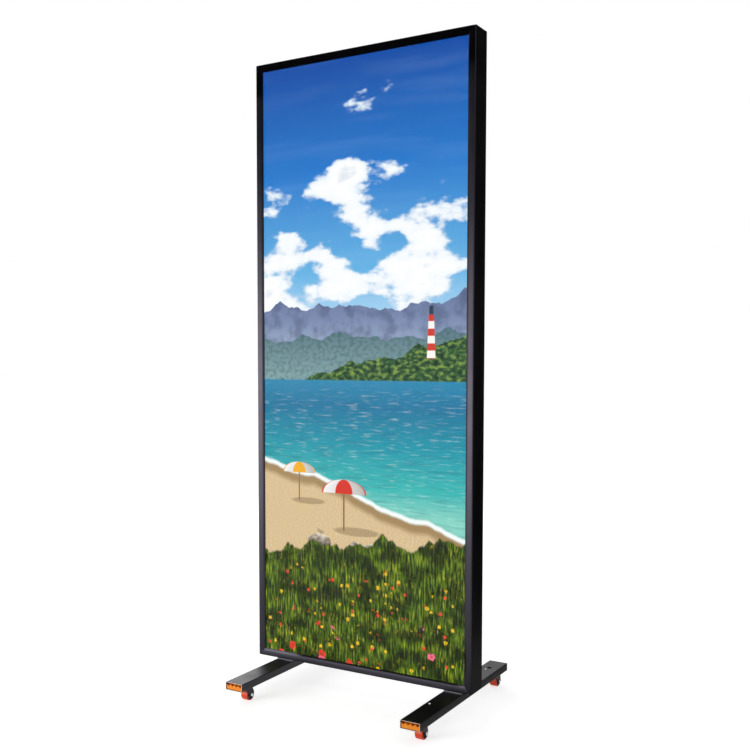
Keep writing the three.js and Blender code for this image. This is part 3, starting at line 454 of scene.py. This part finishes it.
def boulders(tree, place, picture):
    """Weathered stones where the sand meets the meadow, lit from above."""
    width, height = 95 * MM, 62 * MM
    bend, reach, fade, kept_share, highest_row = 0.5, 0.46, 0.04, 0.62, 9.4
    spread = add_node(tree, "Mapping", {
        "Vector": place, "Location": (2.4, 0, 0.3), "Scale": (1 / width, 0, 1 / height)})
    ragged = add_node(tree, "TexNoise", {"Vector": place, "Scale": 28.0, "Detail": 4.0})
    bent = add_node(tree, "VectorMath", {
        0: ragged.outputs["Color"], 1: (bend, 0.0, bend), 2: spread.outputs[0]},
        operation="MULTIPLY_ADD").outputs[0]
    stone = add_node(tree, "TexVoronoi", {"Vector": bent, "Scale": 1.0, "Randomness": 0.8})
    body = add_node(tree, "MapRange", {
        "Value": stone.outputs["Distance"], "From Min": reach + fade, "From Max": reach})
    kind = add_node(tree, "SeparateColor", {"Color": stone.outputs["Color"]})
    kept = add_node(tree, "Math", {0: kind.outputs["Blue"], 1: kept_share},
                    operation="LESS_THAN").outputs[0]
    offset = add_node(tree, "VectorMath", {0: bent, 1: stone.outputs["Position"]},
                      operation="SUBTRACT")
    up = add_node(tree, "SeparateXYZ", {"Vector": offset.outputs[0]}).outputs["Z"]
    grit = add_node(tree, "TexNoise", {"Vector": place, "Scale": 90.0, "Detail": 6.0}).outputs[0]
    light = add_node(tree, "Math", {0: up, 1: grit}, operation="ADD").outputs[0]
    shade = add_node(tree, "MapRange", {"Value": light, "From Min": 0.05, "From Max": 1.0})
    colour = add_node(tree, "ValToRGB", {"Fac": shade.outputs["Result"]}, (
        (0.0, 0x1E1B18), (0.35, 0x5A5147), (0.7, 0x9C9182), (1.0, 0xE2D8C8))).outputs["Color"]
    row = add_node(tree, "SeparateXYZ", {"Vector": stone.outputs["Position"]}).outputs["Z"]
    low = add_node(tree, "Math", {0: row, 1: highest_row}, operation="LESS_THAN").outputs[0]
    return lay_over(tree, picture, colour, body.outputs["Result"], kept, low)


def shore(tree, place, picture):
    """A curved beach: a lip of foam, wet sand and dry sand."""
    curve = {"swing": 0.03, "pitch": 0.3, "tilt": -0.28, "start": 2.0}
    foam = under_line(tree, place, height=0.66, detail=5.0, blur=5 * MM, **curve)
    picture = lay_over(tree, picture, 0xF6FFFC, foam)
    wet = under_line(tree, place, height=0.645, detail=4.0, blur=6 * MM, **curve)
    picture = lay_over(tree, picture, 0xA4875C, wet)
    sand = dapple(tree, place, width=0.006, height=0.003, stops=((0.3, 0xC8A878), (0.7, 0xE8D2A8)))
    dry = under_line(tree, place, height=0.615, detail=4.0, blur=14 * MM, **curve)
    return lay_over(tree, picture, sand, dry)


def flowers(tree, place, picture, pitch, limit, start, colours):
    """Ragged blooms with a brown heart, scattered over the meadow."""
    # Sizes are shares of the pitch
    petal_reach, heart_reach, fade, raggedness, kept_share = 0.4, 0.07, 0.05, 0.35, 0.55
    spread = add_node(tree, "Mapping", {
        "Vector": place, "Location": (start, 0, start), "Scale": (1 / pitch, 0, 1 / pitch)})
    bloom = add_node(tree, "TexVoronoi", {
        "Vector": spread.outputs[0], "Scale": 1.0, "Randomness": 0.95})
    noise = add_node(tree, "TexNoise", {"Vector": spread.outputs[0], "Scale": 6.0, "Detail": 0.0})
    distance = bloom.outputs["Distance"]
    ragged = add_node(tree, "Math", {0: noise.outputs[0], 1: raggedness, 2: distance},
                      operation="MULTIPLY_ADD").outputs[0]
    petals = add_node(tree, "MapRange", {
        "Value": ragged, "From Min": petal_reach + fade, "From Max": petal_reach})
    kind = add_node(tree, "SeparateColor", {"Color": bloom.outputs["Color"]})
    kept = add_node(tree, "Math", {0: kind.outputs["Red"], 1: kept_share},
                    operation="LESS_THAN").outputs[0]
    tint = add_node(tree, "ValToRGB", {"Fac": kind.outputs["Green"]}, colours)
    tint.color_ramp.interpolation = "CONSTANT"
    field = under_line(tree, place, limit, swing=0.05, pitch=0.2, detail=5.0, start=5.0, blur=8 * MM)
    picture = lay_over(tree, picture, tint.outputs["Color"], petals.outputs["Result"], kept, field)
    heart = add_node(tree, "MapRange", {
        "Value": distance, "From Min": heart_reach + fade, "From Max": heart_reach})
    return lay_over(tree, picture, 0x8A4A12, heart.outputs["Result"], kept, field)


def meadow(tree, place, picture):
    """Dune grass with dark hollows and sunny tips, and red, yellow and pink flowers."""
    grass = dapple(tree, place, width=0.006, height=0.045, stops=(
        (0.32, 0x0C1A06), (0.45, 0x26400F), (0.56, 0x5E7C16), (0.68, 0xA9B42C)))
    edge = under_line(tree, place, height=0.5, swing=0.06, pitch=0.13, detail=10.0, tilt=0.12,
                      start=5.0, blur=5 * MM)
    picture = lay_over(tree, picture, grass, edge)
    hollows = dapple(tree, place, width=0.08, height=0.06, detail=6.0, start=11.0, stops=(
        (0.42, 0x000000), (0.58, 0xE8E8E8)))
    picture = lay_over(tree, picture, 0x0A1404, hollows, edge)
    tips = dapple(tree, place, width=0.004, height=0.022, detail=2.0, start=2.2, stops=(
        (0.6, 0x000000), (0.7, 0xE0E0E0)))
    sunny = dapple(tree, place, width=0.12, height=0.07, detail=3.0, start=4.6, stops=(
        (0.45, 0x000000), (0.6, 0xFFFFFF)))
    picture = lay_over(tree, picture, 0xD8CE30, tips, sunny, edge)
    picture = flowers(tree, place, picture, pitch=24 * MM, limit=0.41, start=1.3, colours=(
        (0.0, 0xF4C81E), (0.5, 0xE8452C)))
    return flowers(tree, place, picture, pitch=52 * MM, limit=0.27, start=6.1, colours=(
        (0.0, 0xE3322B), (0.45, 0xF7B61B), (0.75, 0xF06A8A)))


def printed_backlit_film():
    """Inkjet print on backlit polyester film: colours that glow, with hardly any gloss."""
    material, tree, shader = new_material("printed backlit film", 0x0A0A0A, 0.6, {
        "Specular IOR Level": 0.1, "Emission Strength": 1.0})
    place = add_node(tree, "TexCoord").outputs["Object"]
    picture = shade_by_height(tree, place, low=1.15, high=2.06, stops=(
        (0.0, 0xBFE2F4), (0.25, 0x63B2E4), (0.6, 0x1F78CC), (1.0, 0x0B49A4)))
    for motif in (cumulus, hills, sea, lighthouse, shore, parasols, boulders, meadow):
        picture = motif(tree, place, picture)
    tree.links.new(picture, shader.inputs["Emission Color"])
    return material


COATED = powder_coated_aluminium()
STEEL = powder_coated_steel()
MILL = mill_aluminium()
SPRING = spring_steel()
ZINC = zinc_plated_steel()
GALVANISED = galvanised_steel()
SAWN = sawn_steel()
NICKEL = nickel_plated_brass()
CLEAR = clear_polyester_sheet()
FILM = printed_backlit_film()
OPAL = opal_acrylic()
BOARD = rigid_pvc_board()
CIRCUIT = white_circuit_board()
LENS = lens_polycarbonate()
NYLON = moulded_black_nylon()
HUB = glass_filled_nylon()
TREAD = cast_polyurethane()
AMBER = moulded_amber_polypropylene()
INK = white_legend_ink()


# Building pieces

def add_object(name, bm, material):
    """Turns a bmesh into an object of one material."""
    mesh = bpy.data.meshes.new(name)
    bm.to_mesh(mesh)
    bm.free()
    mesh.materials.append(material)
    made = bpy.data.objects.new(name, mesh)
    scene.collection.objects.link(made)
    return made


def finish(name, bm, material, body, nodes=()):
    """Turns a bmesh into a piece that rides a body, and may stand for CAD nodes."""
    piece = add_object(name, bm, material)
    piece.data.polygons.foreach_set("use_smooth", [True] * len(piece.data.polygons))
    piece.data.set_sharp_from_angle(angle=SMOOTH_ANGLE)
    weighted = piece.modifiers.new("Weighted normals", "WEIGHTED_NORMAL")
    weighted.keep_sharp = True
    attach(piece, body)
    if nodes:
        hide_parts(*nodes)


def soften(bm, rounding, segments=2):
    """Rounds every sharp edge over."""
    sharp = [edge for edge in bm.edges if edge.is_manifold and edge.calc_face_angle() > SHARP_ANGLE]
    bmesh.ops.bevel(bm, geom=sharp, offset=rounding, offset_type="OFFSET", segments=segments,
                    profile=0.5, affect="EDGES", material=-1, clamp_overlap=True)


def merged_copy(node):
    """The solid of a CAD node, with its triangles merged into flat faces."""
    bm = bmesh.new()
    bm.from_mesh(frame["nodes"][node].data)
    bmesh.ops.remove_doubles(bm, verts=bm.verts, dist=MERGE_DISTANCE)
    bmesh.ops.dissolve_limit(bm, angle_limit=FLAT_ANGLE, verts=bm.verts, edges=bm.edges)
    return bm


def dress(node, material, rounding):
    """Stands for a CAD node with the same solid, its edges rounded."""
    bm = merged_copy(node)
    soften(bm, rounding)
    finish(f"{node}_shape", bm, material, frame["nodes"][node]["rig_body"], [node])


def middle(node):
    """The middle of a CAD node's box."""
    low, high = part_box(node)
    return (low + high) / 2


def half_size(node):
    """Half the size of a CAD node's box, along X, Y and Z."""
    low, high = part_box(node)
    return (high - low) / 2


def add_block(bm, low, high, turn=Matrix()):
    """Adds a block between two corners, turned afterwards."""
    low, high = Vector(low), Vector(high)
    place = turn @ Matrix.LocRotScale((low + high) / 2, None, high - low)
    bmesh.ops.create_cube(bm, size=1.0, matrix=place)


def add_turned(bm, points, steps, axis, centre):
    """Spins an outline of [along, radius] points about an axis through a centre."""
    axis = Vector(axis)
    aside = axis.orthogonal().normalized()
    start = [bm.verts.new(Vector(centre) + axis * along + aside * radius) for along, radius in points]
    edges = [bm.edges.new(pair) for pair in zip(start, start[1:])]
    starts_off_axis = points[0][1] > 0
    if starts_off_axis:
        edges.append(bm.edges.new((start[-1], start[0])))
    bmesh.ops.spin(bm, geom=start + edges, cent=centre, axis=axis, angle=math.tau, steps=steps,
                   use_merge=True)
    bmesh.ops.remove_doubles(bm, verts=bm.verts, dist=MERGE_DISTANCE)
    bmesh.ops.recalc_face_normals(bm, faces=bm.faces)


def arc(centre, radius, start, end, steps):
    """Points of an arc, as [along, radius] pairs, between two angles in degrees."""
    angles = [math.radians(start + (end - start) * step / steps) for step in range(steps + 1)]
    return [(centre[0] + radius * math.cos(a), centre[1] + radius * math.sin(a)) for a in angles]


def mirrored(side):
    """An outline of [along, radius] points, continued by its mirror image."""
    return [*side, *[(-along, radius) for along, radius in reversed(side)]]


def screws(name, places, axis, radius, height):
    """One piece of like screws: low domed heads with a round drive socket."""
    rim_height, shoulder_height, shoulder_radius = 0.35 * height, 0.75 * height, 0.85 * radius
    crown_radius, socket_radius, socket_floor = 0.6 * radius, 0.45 * radius, 0.35 * height
    points = [
        (0, 0), (0, radius), (rim_height, radius), (shoulder_height, shoulder_radius),
        (height, crown_radius), (height, socket_radius), (socket_floor, socket_radius),
        (socket_floor, 0)]
    bm = bmesh.new()
    for place in places:
        add_turned(bm, points, steps=20, axis=axis, centre=place)
    finish(name, bm, ZINC, "light_box")


# The frame and what it holds

def dress_frame():
    """The profiles and front rails, their springs and corner keys, and the sheets."""
    for side in SIDES:
        dress(f"profile_{side}", COATED, rounding=0.35 * MM)
        dress(f"rail_{side}", COATED, rounding=0.3 * MM)
        dress(f"spring_strip_{side}", SPRING, rounding=0.15 * MM)
        dress(f"corner_key_{side}", MILL, rounding=0.6 * MM)
    dress("cover_sheet", CLEAR, rounding=0.1 * MM)
    dress("diffuser_panel", OPAL, rounding=0.3 * MM)
    dress("back_panel", BOARD, rounding=0.3 * MM)
    dress("graphic_print", FILM, rounding=0.05 * MM)


def lip_screws():
    """Low screws through the rear lip, along each side of the box."""
    inset, spacing = 9 * MM, 270 * MM
    low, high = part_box("profile_bottom")[0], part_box("profile_top")[1]
    tall, wide = high.z - low.z - 2 * inset, high.x - low.x - 2 * inset
    up_steps, across_steps = round(tall / spacing), round(wide / spacing)
    heights = [low.z + inset + tall * step / up_steps for step in range(up_steps + 1)]
    columns = [low.x + inset + wide * step / across_steps for step in range(1, across_steps)]
    places = [(x, high.y, z) for z in heights for x in (low.x + inset, high.x - inset)]
    places += [(x, high.y, z) for x in columns for z in (low.z + inset, high.z - inset)]
    screws("lip_screws", places, axis=(0, 1, 0), radius=3.2 * MM, height=1.2 * MM)


# The electrics

def led_bars():
    """White boards, each with a row of domed lenses that dip at their crown."""
    lens_count, board_half, board_thickness, board_edge = 11, 6 * MM, 1.5 * MM, 0.2 * MM
    flange_radius, flange_height = 6.8 * MM, 1.2 * MM
    dome_radius, dip_radius, dip_height = 3.8 * MM, 2 * MM, 4.2 * MM
    lens = [(0, 0), (0, flange_radius), (flange_height, flange_radius),
            *arc((flange_height, dip_radius), dome_radius, start=90, end=0, steps=6), (dip_height, 0)]
    for bar in LED_BARS:
        node = f"led_bar_{bar}"
        low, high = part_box(node)
        centre, board_front = middle(node).x, high.y - board_thickness
        board = bmesh.new()
        add_block(board, (centre - board_half, board_front, low.z),
                  (centre + board_half, high.y, high.z))
        soften(board, board_edge)
        finish(f"{node}_board", board, CIRCUIT, "light_box", [node])
        lenses = bmesh.new()
        pitch = (high.z - low.z) / lens_count
        for index in range(lens_count):
            place = (centre, board_front, low.z + (index + 0.5) * pitch)
            add_turned(lenses, lens, steps=16, axis=(0, -1, 0), centre=place)
        finish(f"{node}_lenses", lenses, LENS, "light_box")


def power_supply():
    """A closed can, held by two screws through the tab at each end."""
    node = "power_supply"
    dress(node, MILL, rounding=0.6 * MM)
    low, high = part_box(node)
    aside, inset, tab_thickness = 20 * MM, 5 * MM, 2 * MM
    places = [(middle(node).x + x, high.y - tab_thickness, z)
              for x in (-aside, aside) for z in (low.z + inset, high.z - inset)]
    screws("supply_screws", places, axis=(0, -1, 0), radius=3.2 * MM, height=2 * MM)


def power_inlet():
    """The socket is moulded nylon, and its three flat pins are metal."""
    node = "power_inlet"
    centre, rear = middle(node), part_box(node)[1].y
    pin_front, pin_root = rear - 6 * MM, rear - 16 * MM
    pin_width, pin_height, pin_seat = 2 * MM, 4 * MM, 0.5 * MM
    margin, root_margin = 0.1 * MM, 1 * MM
    spread, lift, rounding = 7 * MM, 2 * MM, 0.4 * MM
    pin_places = [(0, lift), (-spread, -lift), (spread, -lift)]
    # The solid's own pins give way to the metal ones
    socket = merged_copy(node)
    doomed = []
    for face in socket.faces:
        place = face.calc_center_median()
        for x, z in pin_places:
            beside = abs(place.x - centre.x - x) < pin_width / 2 + margin
            level = abs(place.z - centre.z - z) < pin_height / 2 + margin
            if beside and level and place.y > pin_root + root_margin:
                doomed.append(face)
    bmesh.ops.delete(socket, geom=doomed, context="FACES")
    bmesh.ops.holes_fill(socket, edges=[edge for edge in socket.edges if edge.is_boundary])
    soften(socket, rounding)
    finish("power_inlet_shape", socket, NYLON, "light_box", [node])
    pins = bmesh.new()
    for x, z in pin_places:
        left, foot = centre.x + x - pin_width / 2, centre.z + z - pin_height / 2
        add_block(pins, (left, pin_root - pin_seat, foot),
                  (left + pin_width, pin_front, foot + pin_height))
    soften(pins, rounding, segments=3)
    finish("inlet_pins", pins, NICKEL, "light_box")


def power_switch():
    """A rocker with a pad-printed bar on one half and a ring on the other."""
    dress("switch_housing", NYLON, rounding=0.35 * MM)
    dress("switch_rocker", NYLON, rounding=0.4 * MM)
    joint = next(joint for joint in frame["joints"] if joint["name"] == "switch_tilt")
    tilt, rise, skirt, half = math.radians(8), 3 * MM, 4 * MM, 7 * MM
    bar_half, bar_reach, ring_inner, ring_outer, ink = 0.4 * MM, 2 * MM, 1.5 * MM, 2.1 * MM, 0.04 * MM
    slope = math.atan2(skirt - rise, half)
    rocker = Matrix.Translation(joint["pos_m"]) @ Matrix.Rotation(tilt, 4, "X")
    upper, lower = [
        rocker @ Matrix.Translation((0, (rise + skirt) / 2, way * half / 2))
        @ Matrix.Rotation(-way * slope, 4, "X") for way in (1, -1)]
    marks = bmesh.new()
    add_block(marks, (-bar_half, -ink, -bar_reach), (bar_half, ink, bar_reach), upper)
    ring = [(-ink, ring_inner), (ink, ring_inner), (ink, ring_outer), (-ink, ring_outer)]
    add_turned(marks, ring, steps=32, axis=lower.to_3x3() @ Vector((0, 1, 0)), centre=lower.translation)
    finish("rocker_marks", marks, INK, "rocker")


# The feet

def cut_across(bm, y, way):
    """Cuts a tube square across, clears the part on one side and closes the cut."""
    bmesh.ops.bisect_plane(bm, geom=[*bm.verts, *bm.edges, *bm.faces], dist=MERGE_DISTANCE,
                           plane_co=(0, y, 0), plane_no=(0, way, 0), clear_outer=True)
    bmesh.ops.bridge_loops(bm, edges=[edge for edge in bm.edges if edge.is_boundary])


def foot_tube(foot):
    """A coated tube whose sawn ends stayed bare."""
    node = f"foot_{foot}"
    low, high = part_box(node)
    bare, rounding = 0.4 * MM, 0.3 * MM
    front, rear = low.y + bare, high.y - bare
    tube, front_end, rear_end = [merged_copy(node) for _ in range(3)]
    for bm in (tube, front_end, rear_end):
        soften(bm, rounding)
    cut_across(tube, front, -1)
    cut_across(tube, rear, 1)
    cut_across(front_end, front, 1)
    cut_across(rear_end, rear, -1)
    finish(f"{node}_tube", tube, STEEL, "light_box", [node])
    finish(f"{node}_front_end", front_end, SAWN, "light_box")
    finish(f"{node}_rear_end", rear_end, SAWN, "light_box")


def end_insert(name, way):
    """A stopper with round scallops along the top of its front step."""
    node = f"end_insert_{name}"
    low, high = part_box(node)
    width, depth = high.x - low.x, high.y - low.y
    step_height, step_depth, scallops, scallop_radius = 15 * MM, 12 * MM, 4, 4 * MM
    front = low.y if way < 0 else high.y
    inner, back = front - way * step_depth, front - way * depth
    pitch = width / scallops
    top = []
    for index in reversed(range(scallops)):
        centre = (-width / 2 + (index + 0.5) * pitch, step_height)
        top += arc(centre, scallop_radius, start=0, end=-180, steps=8)
    outline = [(-width / 2, 0), (width / 2, 0), (width / 2, step_height), *top,
               (-width / 2, step_height)]
    bm = bmesh.new()
    verts = [bm.verts.new((middle(node).x + x, front, low.z + z)) for x, z in outline]
    grown = bmesh.ops.extrude_face_region(bm, geom=[bm.faces.new(verts)])["geom"]
    moved = [item for item in grown if isinstance(item, bmesh.types.BMVert)]
    bmesh.ops.translate(bm, verts=moved, vec=(0, inner - front, 0))
    add_block(bm, (low.x, min(inner, back), low.z), (high.x, max(inner, back), high.z))
    bmesh.ops.recalc_face_normals(bm, faces=bm.faces)
    soften(bm, rounding=0.35 * MM)
    finish(f"{node}_shape", bm, AMBER, "light_box", [node])


def dress_feet():
    """The tubes, the plates and bolts that join them to the box, and their end inserts."""
    for foot in FEET:
        foot_tube(foot)
        dress(f"mounting_plate_{foot}", GALVANISED, rounding=0.3 * MM)
        for place in ("outer", "inner"):
            dress(f"foot_bolt_{foot}_{place}", ZINC, rounding=0.3 * MM)
        for end in FOOT_ENDS:
            end_insert(f"{foot}_{end}", -1 if end == "front" else 1)


def foot_screws():
    """Domed screw heads on the foot tops."""
    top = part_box("foot_left")[1].z
    left, right = middle("foot_left").x, middle("foot_right").x
    rear, front, off_middle, off_middle_front = 224 * MM, -160 * MM, 4 * MM, 18 * MM
    places = [(left - off_middle, rear, top), (right - off_middle, rear, top),
              (right - off_middle_front, front, top)]
    screws("foot_screws", places, axis=(0, 0, 1), radius=4 * MM, height=2 * MM)


# The castors

TREAD_THICKNESS = 3.5 * MM


def wheel_tread(name):
    """A cast tread with round shoulders and a parting line."""
    node = f"castor_tread_{name}"
    half, _, radius = half_size(node)
    shoulder, seam_height, seam_half, rounding = 3 * MM, 0.1 * MM, 0.3 * MM, 0.3 * MM
    face = radius - seam_height
    outline = [
        (-half, radius - TREAD_THICKNESS),
        *arc((shoulder - half, face - shoulder), shoulder, start=180, end=90, steps=8),
        (-seam_half, face),
        (0, radius),
        (seam_half, face),
        *arc((half - shoulder, face - shoulder), shoulder, start=90, end=0, steps=8),
        (half, radius - TREAD_THICKNESS)]
    bm = bmesh.new()
    add_turned(bm, outline, steps=96, axis=(1, 0, 0), centre=middle(node))
    soften(bm, rounding)
    finish(f"tread_{name}", bm, TREAD, f"wheel_{name}", [node])


def wheel_hub(name):
    """A hub with a boss and a rim, and six ribs on each side of its web."""
    node, tread = f"castor_hub_{name}", f"castor_tread_{name}"
    centre, boss = middle(tread), half_size(node).x
    half, _, radius = half_size(tread)
    gap, rim_wall, recess, boss_radius, bore = 0.25 * MM, 2 * MM, 4 * MM, 7 * MM, 4.25 * MM
    rim, web = radius - TREAD_THICKNESS - gap, half - recess
    side = [(half, rim), (half, rim - rim_wall), (web, rim - rim_wall), (web, boss_radius),
            (boss, boss_radius), (boss, bore)]
    bm = bmesh.new()
    add_turned(bm, mirrored(side), steps=64, axis=(1, 0, 0), centre=centre)
    soften(bm, rounding=0.3 * MM)
    rib_count, rib_half, rib_inset, overlap = 6, 0.8 * MM, 0.8 * MM, 0.5 * MM
    low, high = boss_radius - overlap, rim - rim_wall + overlap
    for index in range(rib_count):
        turn = Matrix.Translation(centre) @ Matrix.Rotation(math.tau * index / rib_count, 4, "X")
        for start, end in ((rib_inset - half, overlap - web), (web - overlap, half - rib_inset)):
            add_block(bm, (start, -rib_half, low), (end, rib_half, high), turn)
    finish(f"hub_{name}", bm, HUB, f"wheel_{name}", [node])


def axle(name):
    """A pin with domed, riveted heads."""
    node = f"castor_axle_{name}"
    tip, _, head_radius = half_size(node)
    pin_radius, head = 4 * MM, 3.5 * MM
    quarter = arc((0, 0), head_radius, start=0, end=90, steps=10)
    side = [(tip - head + along * head / head_radius, radius) for along, radius in quarter]
    bm = bmesh.new()
    add_turned(bm, mirrored([*side, (tip - head, pin_radius)]), steps=40, axis=(1, 0, 0),
               centre=middle(node))
    finish(f"axle_{name}", bm, ZINC, f"swivel_{name}", [node])


def plate_screws(name):
    """Four screws hold each castor's top plate to its foot."""
    node = f"castor_plate_{name}"
    inset, plate_thickness = 4.5 * MM, 2.5 * MM
    centre, half = middle(node), half_size(node)
    across, along = half.x - inset, half.y - inset
    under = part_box(node)[1].z - plate_thickness
    places = [(centre.x + x, centre.y + y, under) for x in (-across, across) for y in (-along, along)]
    screws(f"plate_screws_{name}", places, axis=(0, 0, -1), radius=2.8 * MM, height=1.8 * MM)


def castors():
    """A plate, a fork, an axle, a wheel and four screws each."""
    for name in CASTORS:
        dress(f"castor_plate_{name}", STEEL, rounding=0.3 * MM)
        dress(f"castor_fork_{name}", STEEL, rounding=0.5 * MM)
        axle(name)
        wheel_tread(name)
        wheel_hub(name)
        plate_screws(name)


# The studio

def seen_directly(tree):
    """Is 1 for what is seen straight, in gloss or through a clear sheet, and otherwise 0."""
    light = add_node(tree, "LightPath")
    seen = light.outputs["Is Camera Ray"]
    for kind in ("Is Glossy Ray", "Is Transmission Ray"):
        seen = add_node(tree, "Math", {0: seen, 1: light.outputs[kind]}, operation="MAXIMUM").outputs[0]
    return seen


def studio_material(name, colour, extra):
    """A pale surface that looks a little brighter than it is lit."""
    material = bpy.data.materials.new(name)
    material.use_nodes = True
    tree = material.node_tree
    tree.nodes.remove(tree.nodes["Principled BSDF"])
    lift = add_node(tree, "Math", {0: seen_directly(tree), 1: extra}, operation="MULTIPLY")
    matt = add_node(tree, "BsdfDiffuse", {"Color": linear(colour)})
    glow = add_node(tree, "Emission", {"Color": linear(0xFFFFFF), "Strength": lift.outputs[0]})
    added = add_node(tree, "AddShader", {0: matt.outputs[0], 1: glow.outputs[0]})
    tree.links.new(added.outputs[0], tree.nodes["Material Output"].inputs["Surface"])
    return material


def floor(half_width):
    """A pale floor that runs on past the view."""
    bm = bmesh.new()
    bmesh.ops.create_grid(bm, x_segments=1, y_segments=1, size=half_width)
    plane = add_object("floor", bm, studio_material("pale studio floor", 0xE6E6E6, extra=0.64))


def world_light(level):
    """Even light from all round, and a white background."""
    world = bpy.data.worlds.new("studio")
    world.use_nodes = True
    scene.world = world
    tree = world.node_tree
    strength = add_node(tree, "MapRange", {
        "Value": seen_directly(tree), "To Min": level, "To Max": 1.0})
    background = tree.nodes["Background"]
    background.inputs["Color"].default_value = linear(0xFFFFFF)
    tree.links.new(strength.outputs["Result"], background.inputs["Strength"])


def dark_flag(name, low, high, colour=0x000000, shades=False):
    """A card for the coated frame to mirror, unseen itself. It can shade the lamps as well."""
    bm = bmesh.new()
    add_block(bm, low, high)
    flock = new_material(f"{name} flock", colour, 1.0, {"Specular IOR Level": 0.0})[0]
    card = add_object(name, bm, flock)
    card.visible_camera = False
    card.visible_diffuse = False
    card.visible_shadow = shades
    card.visible_transmission = False


def softbox(name, place, target, width, height, radiance):
    """A rectangular lamp of even brightness that faces a target."""
    data = bpy.data.lights.new(name, "AREA")
    data.shape = "RECTANGLE"
    data.size = width
    data.size_y = height
    data.energy = radiance * math.pi * width * height
    lamp = bpy.data.objects.new(name, data)
    lamp.location = place
    lamp.rotation_euler = (Vector(target) - Vector(place)).to_track_quat("-Z", "Y").to_euler()
    scene.collection.objects.link(lamp)


def camera():
    """The photograph's view, solved from the corners of the box and the feet."""
    # Pixels of the photograph
    image_width, focal_length, middle_x, middle_y = 750, 979.18, 352.03, 414.7
    sensor_width, tilt_down, turn = 36.0, 3.43, 31.264
    data = bpy.data.cameras.new("camera")
    data.sensor_width = sensor_width
    data.lens = focal_length * sensor_width / image_width
    data.shift_x = (image_width / 2 - middle_x) / image_width
    data.shift_y = (middle_y - image_width / 2) / image_width
    data.clip_end = 200.0
    eye = bpy.data.objects.new("camera", data)
    eye.location = (1.6078, -2.7273, 1.1084)
    eye.rotation_euler = (math.radians(90 - tilt_down), 0, math.radians(turn))
    scene.collection.objects.link(eye)
    scene.camera = eye


dress_frame()
lip_screws()
led_bars()
power_supply()
power_inlet()
power_switch()
dress_feet()
foot_screws()
castors()

floor(half_width=40.0)
dark_flag("side flag", low=(0.72, 0.2, 0.0), high=(0.73, 4.5, 4.0))
dark_flag("floor flag", low=(0.41, -0.4, 0.0005), high=(0.72, 4.5, 0.001), colour=0x8C8C8C)
dark_flag("top flag", low=(-6.0, -3.9, 1.9), high=(2.0, -3.8, 12.0))
dark_flag("top lip flag", low=(-0.46, -0.095, 1.96), high=(0.4, -0.09, 2.066), shades=True)
dark_flag("bottom lip flag", low=(-0.27, -0.095, 0.104), high=(0.33, -0.09, 0.2), shades=True)
world_light(level=0.5)
softbox("front softbox", place=(-2.1, -3.6, 0.85), target=(0, 0, 0.85), width=2.2, height=1.5,
        radiance=10.0)
softbox("rear fill", place=(-2.8, 3.0, 2.2), target=(0, 0, 1.0), width=2.0, height=2.0,
        radiance=2.5)
camera()
scene.view_settings.view_transform = "Standard"
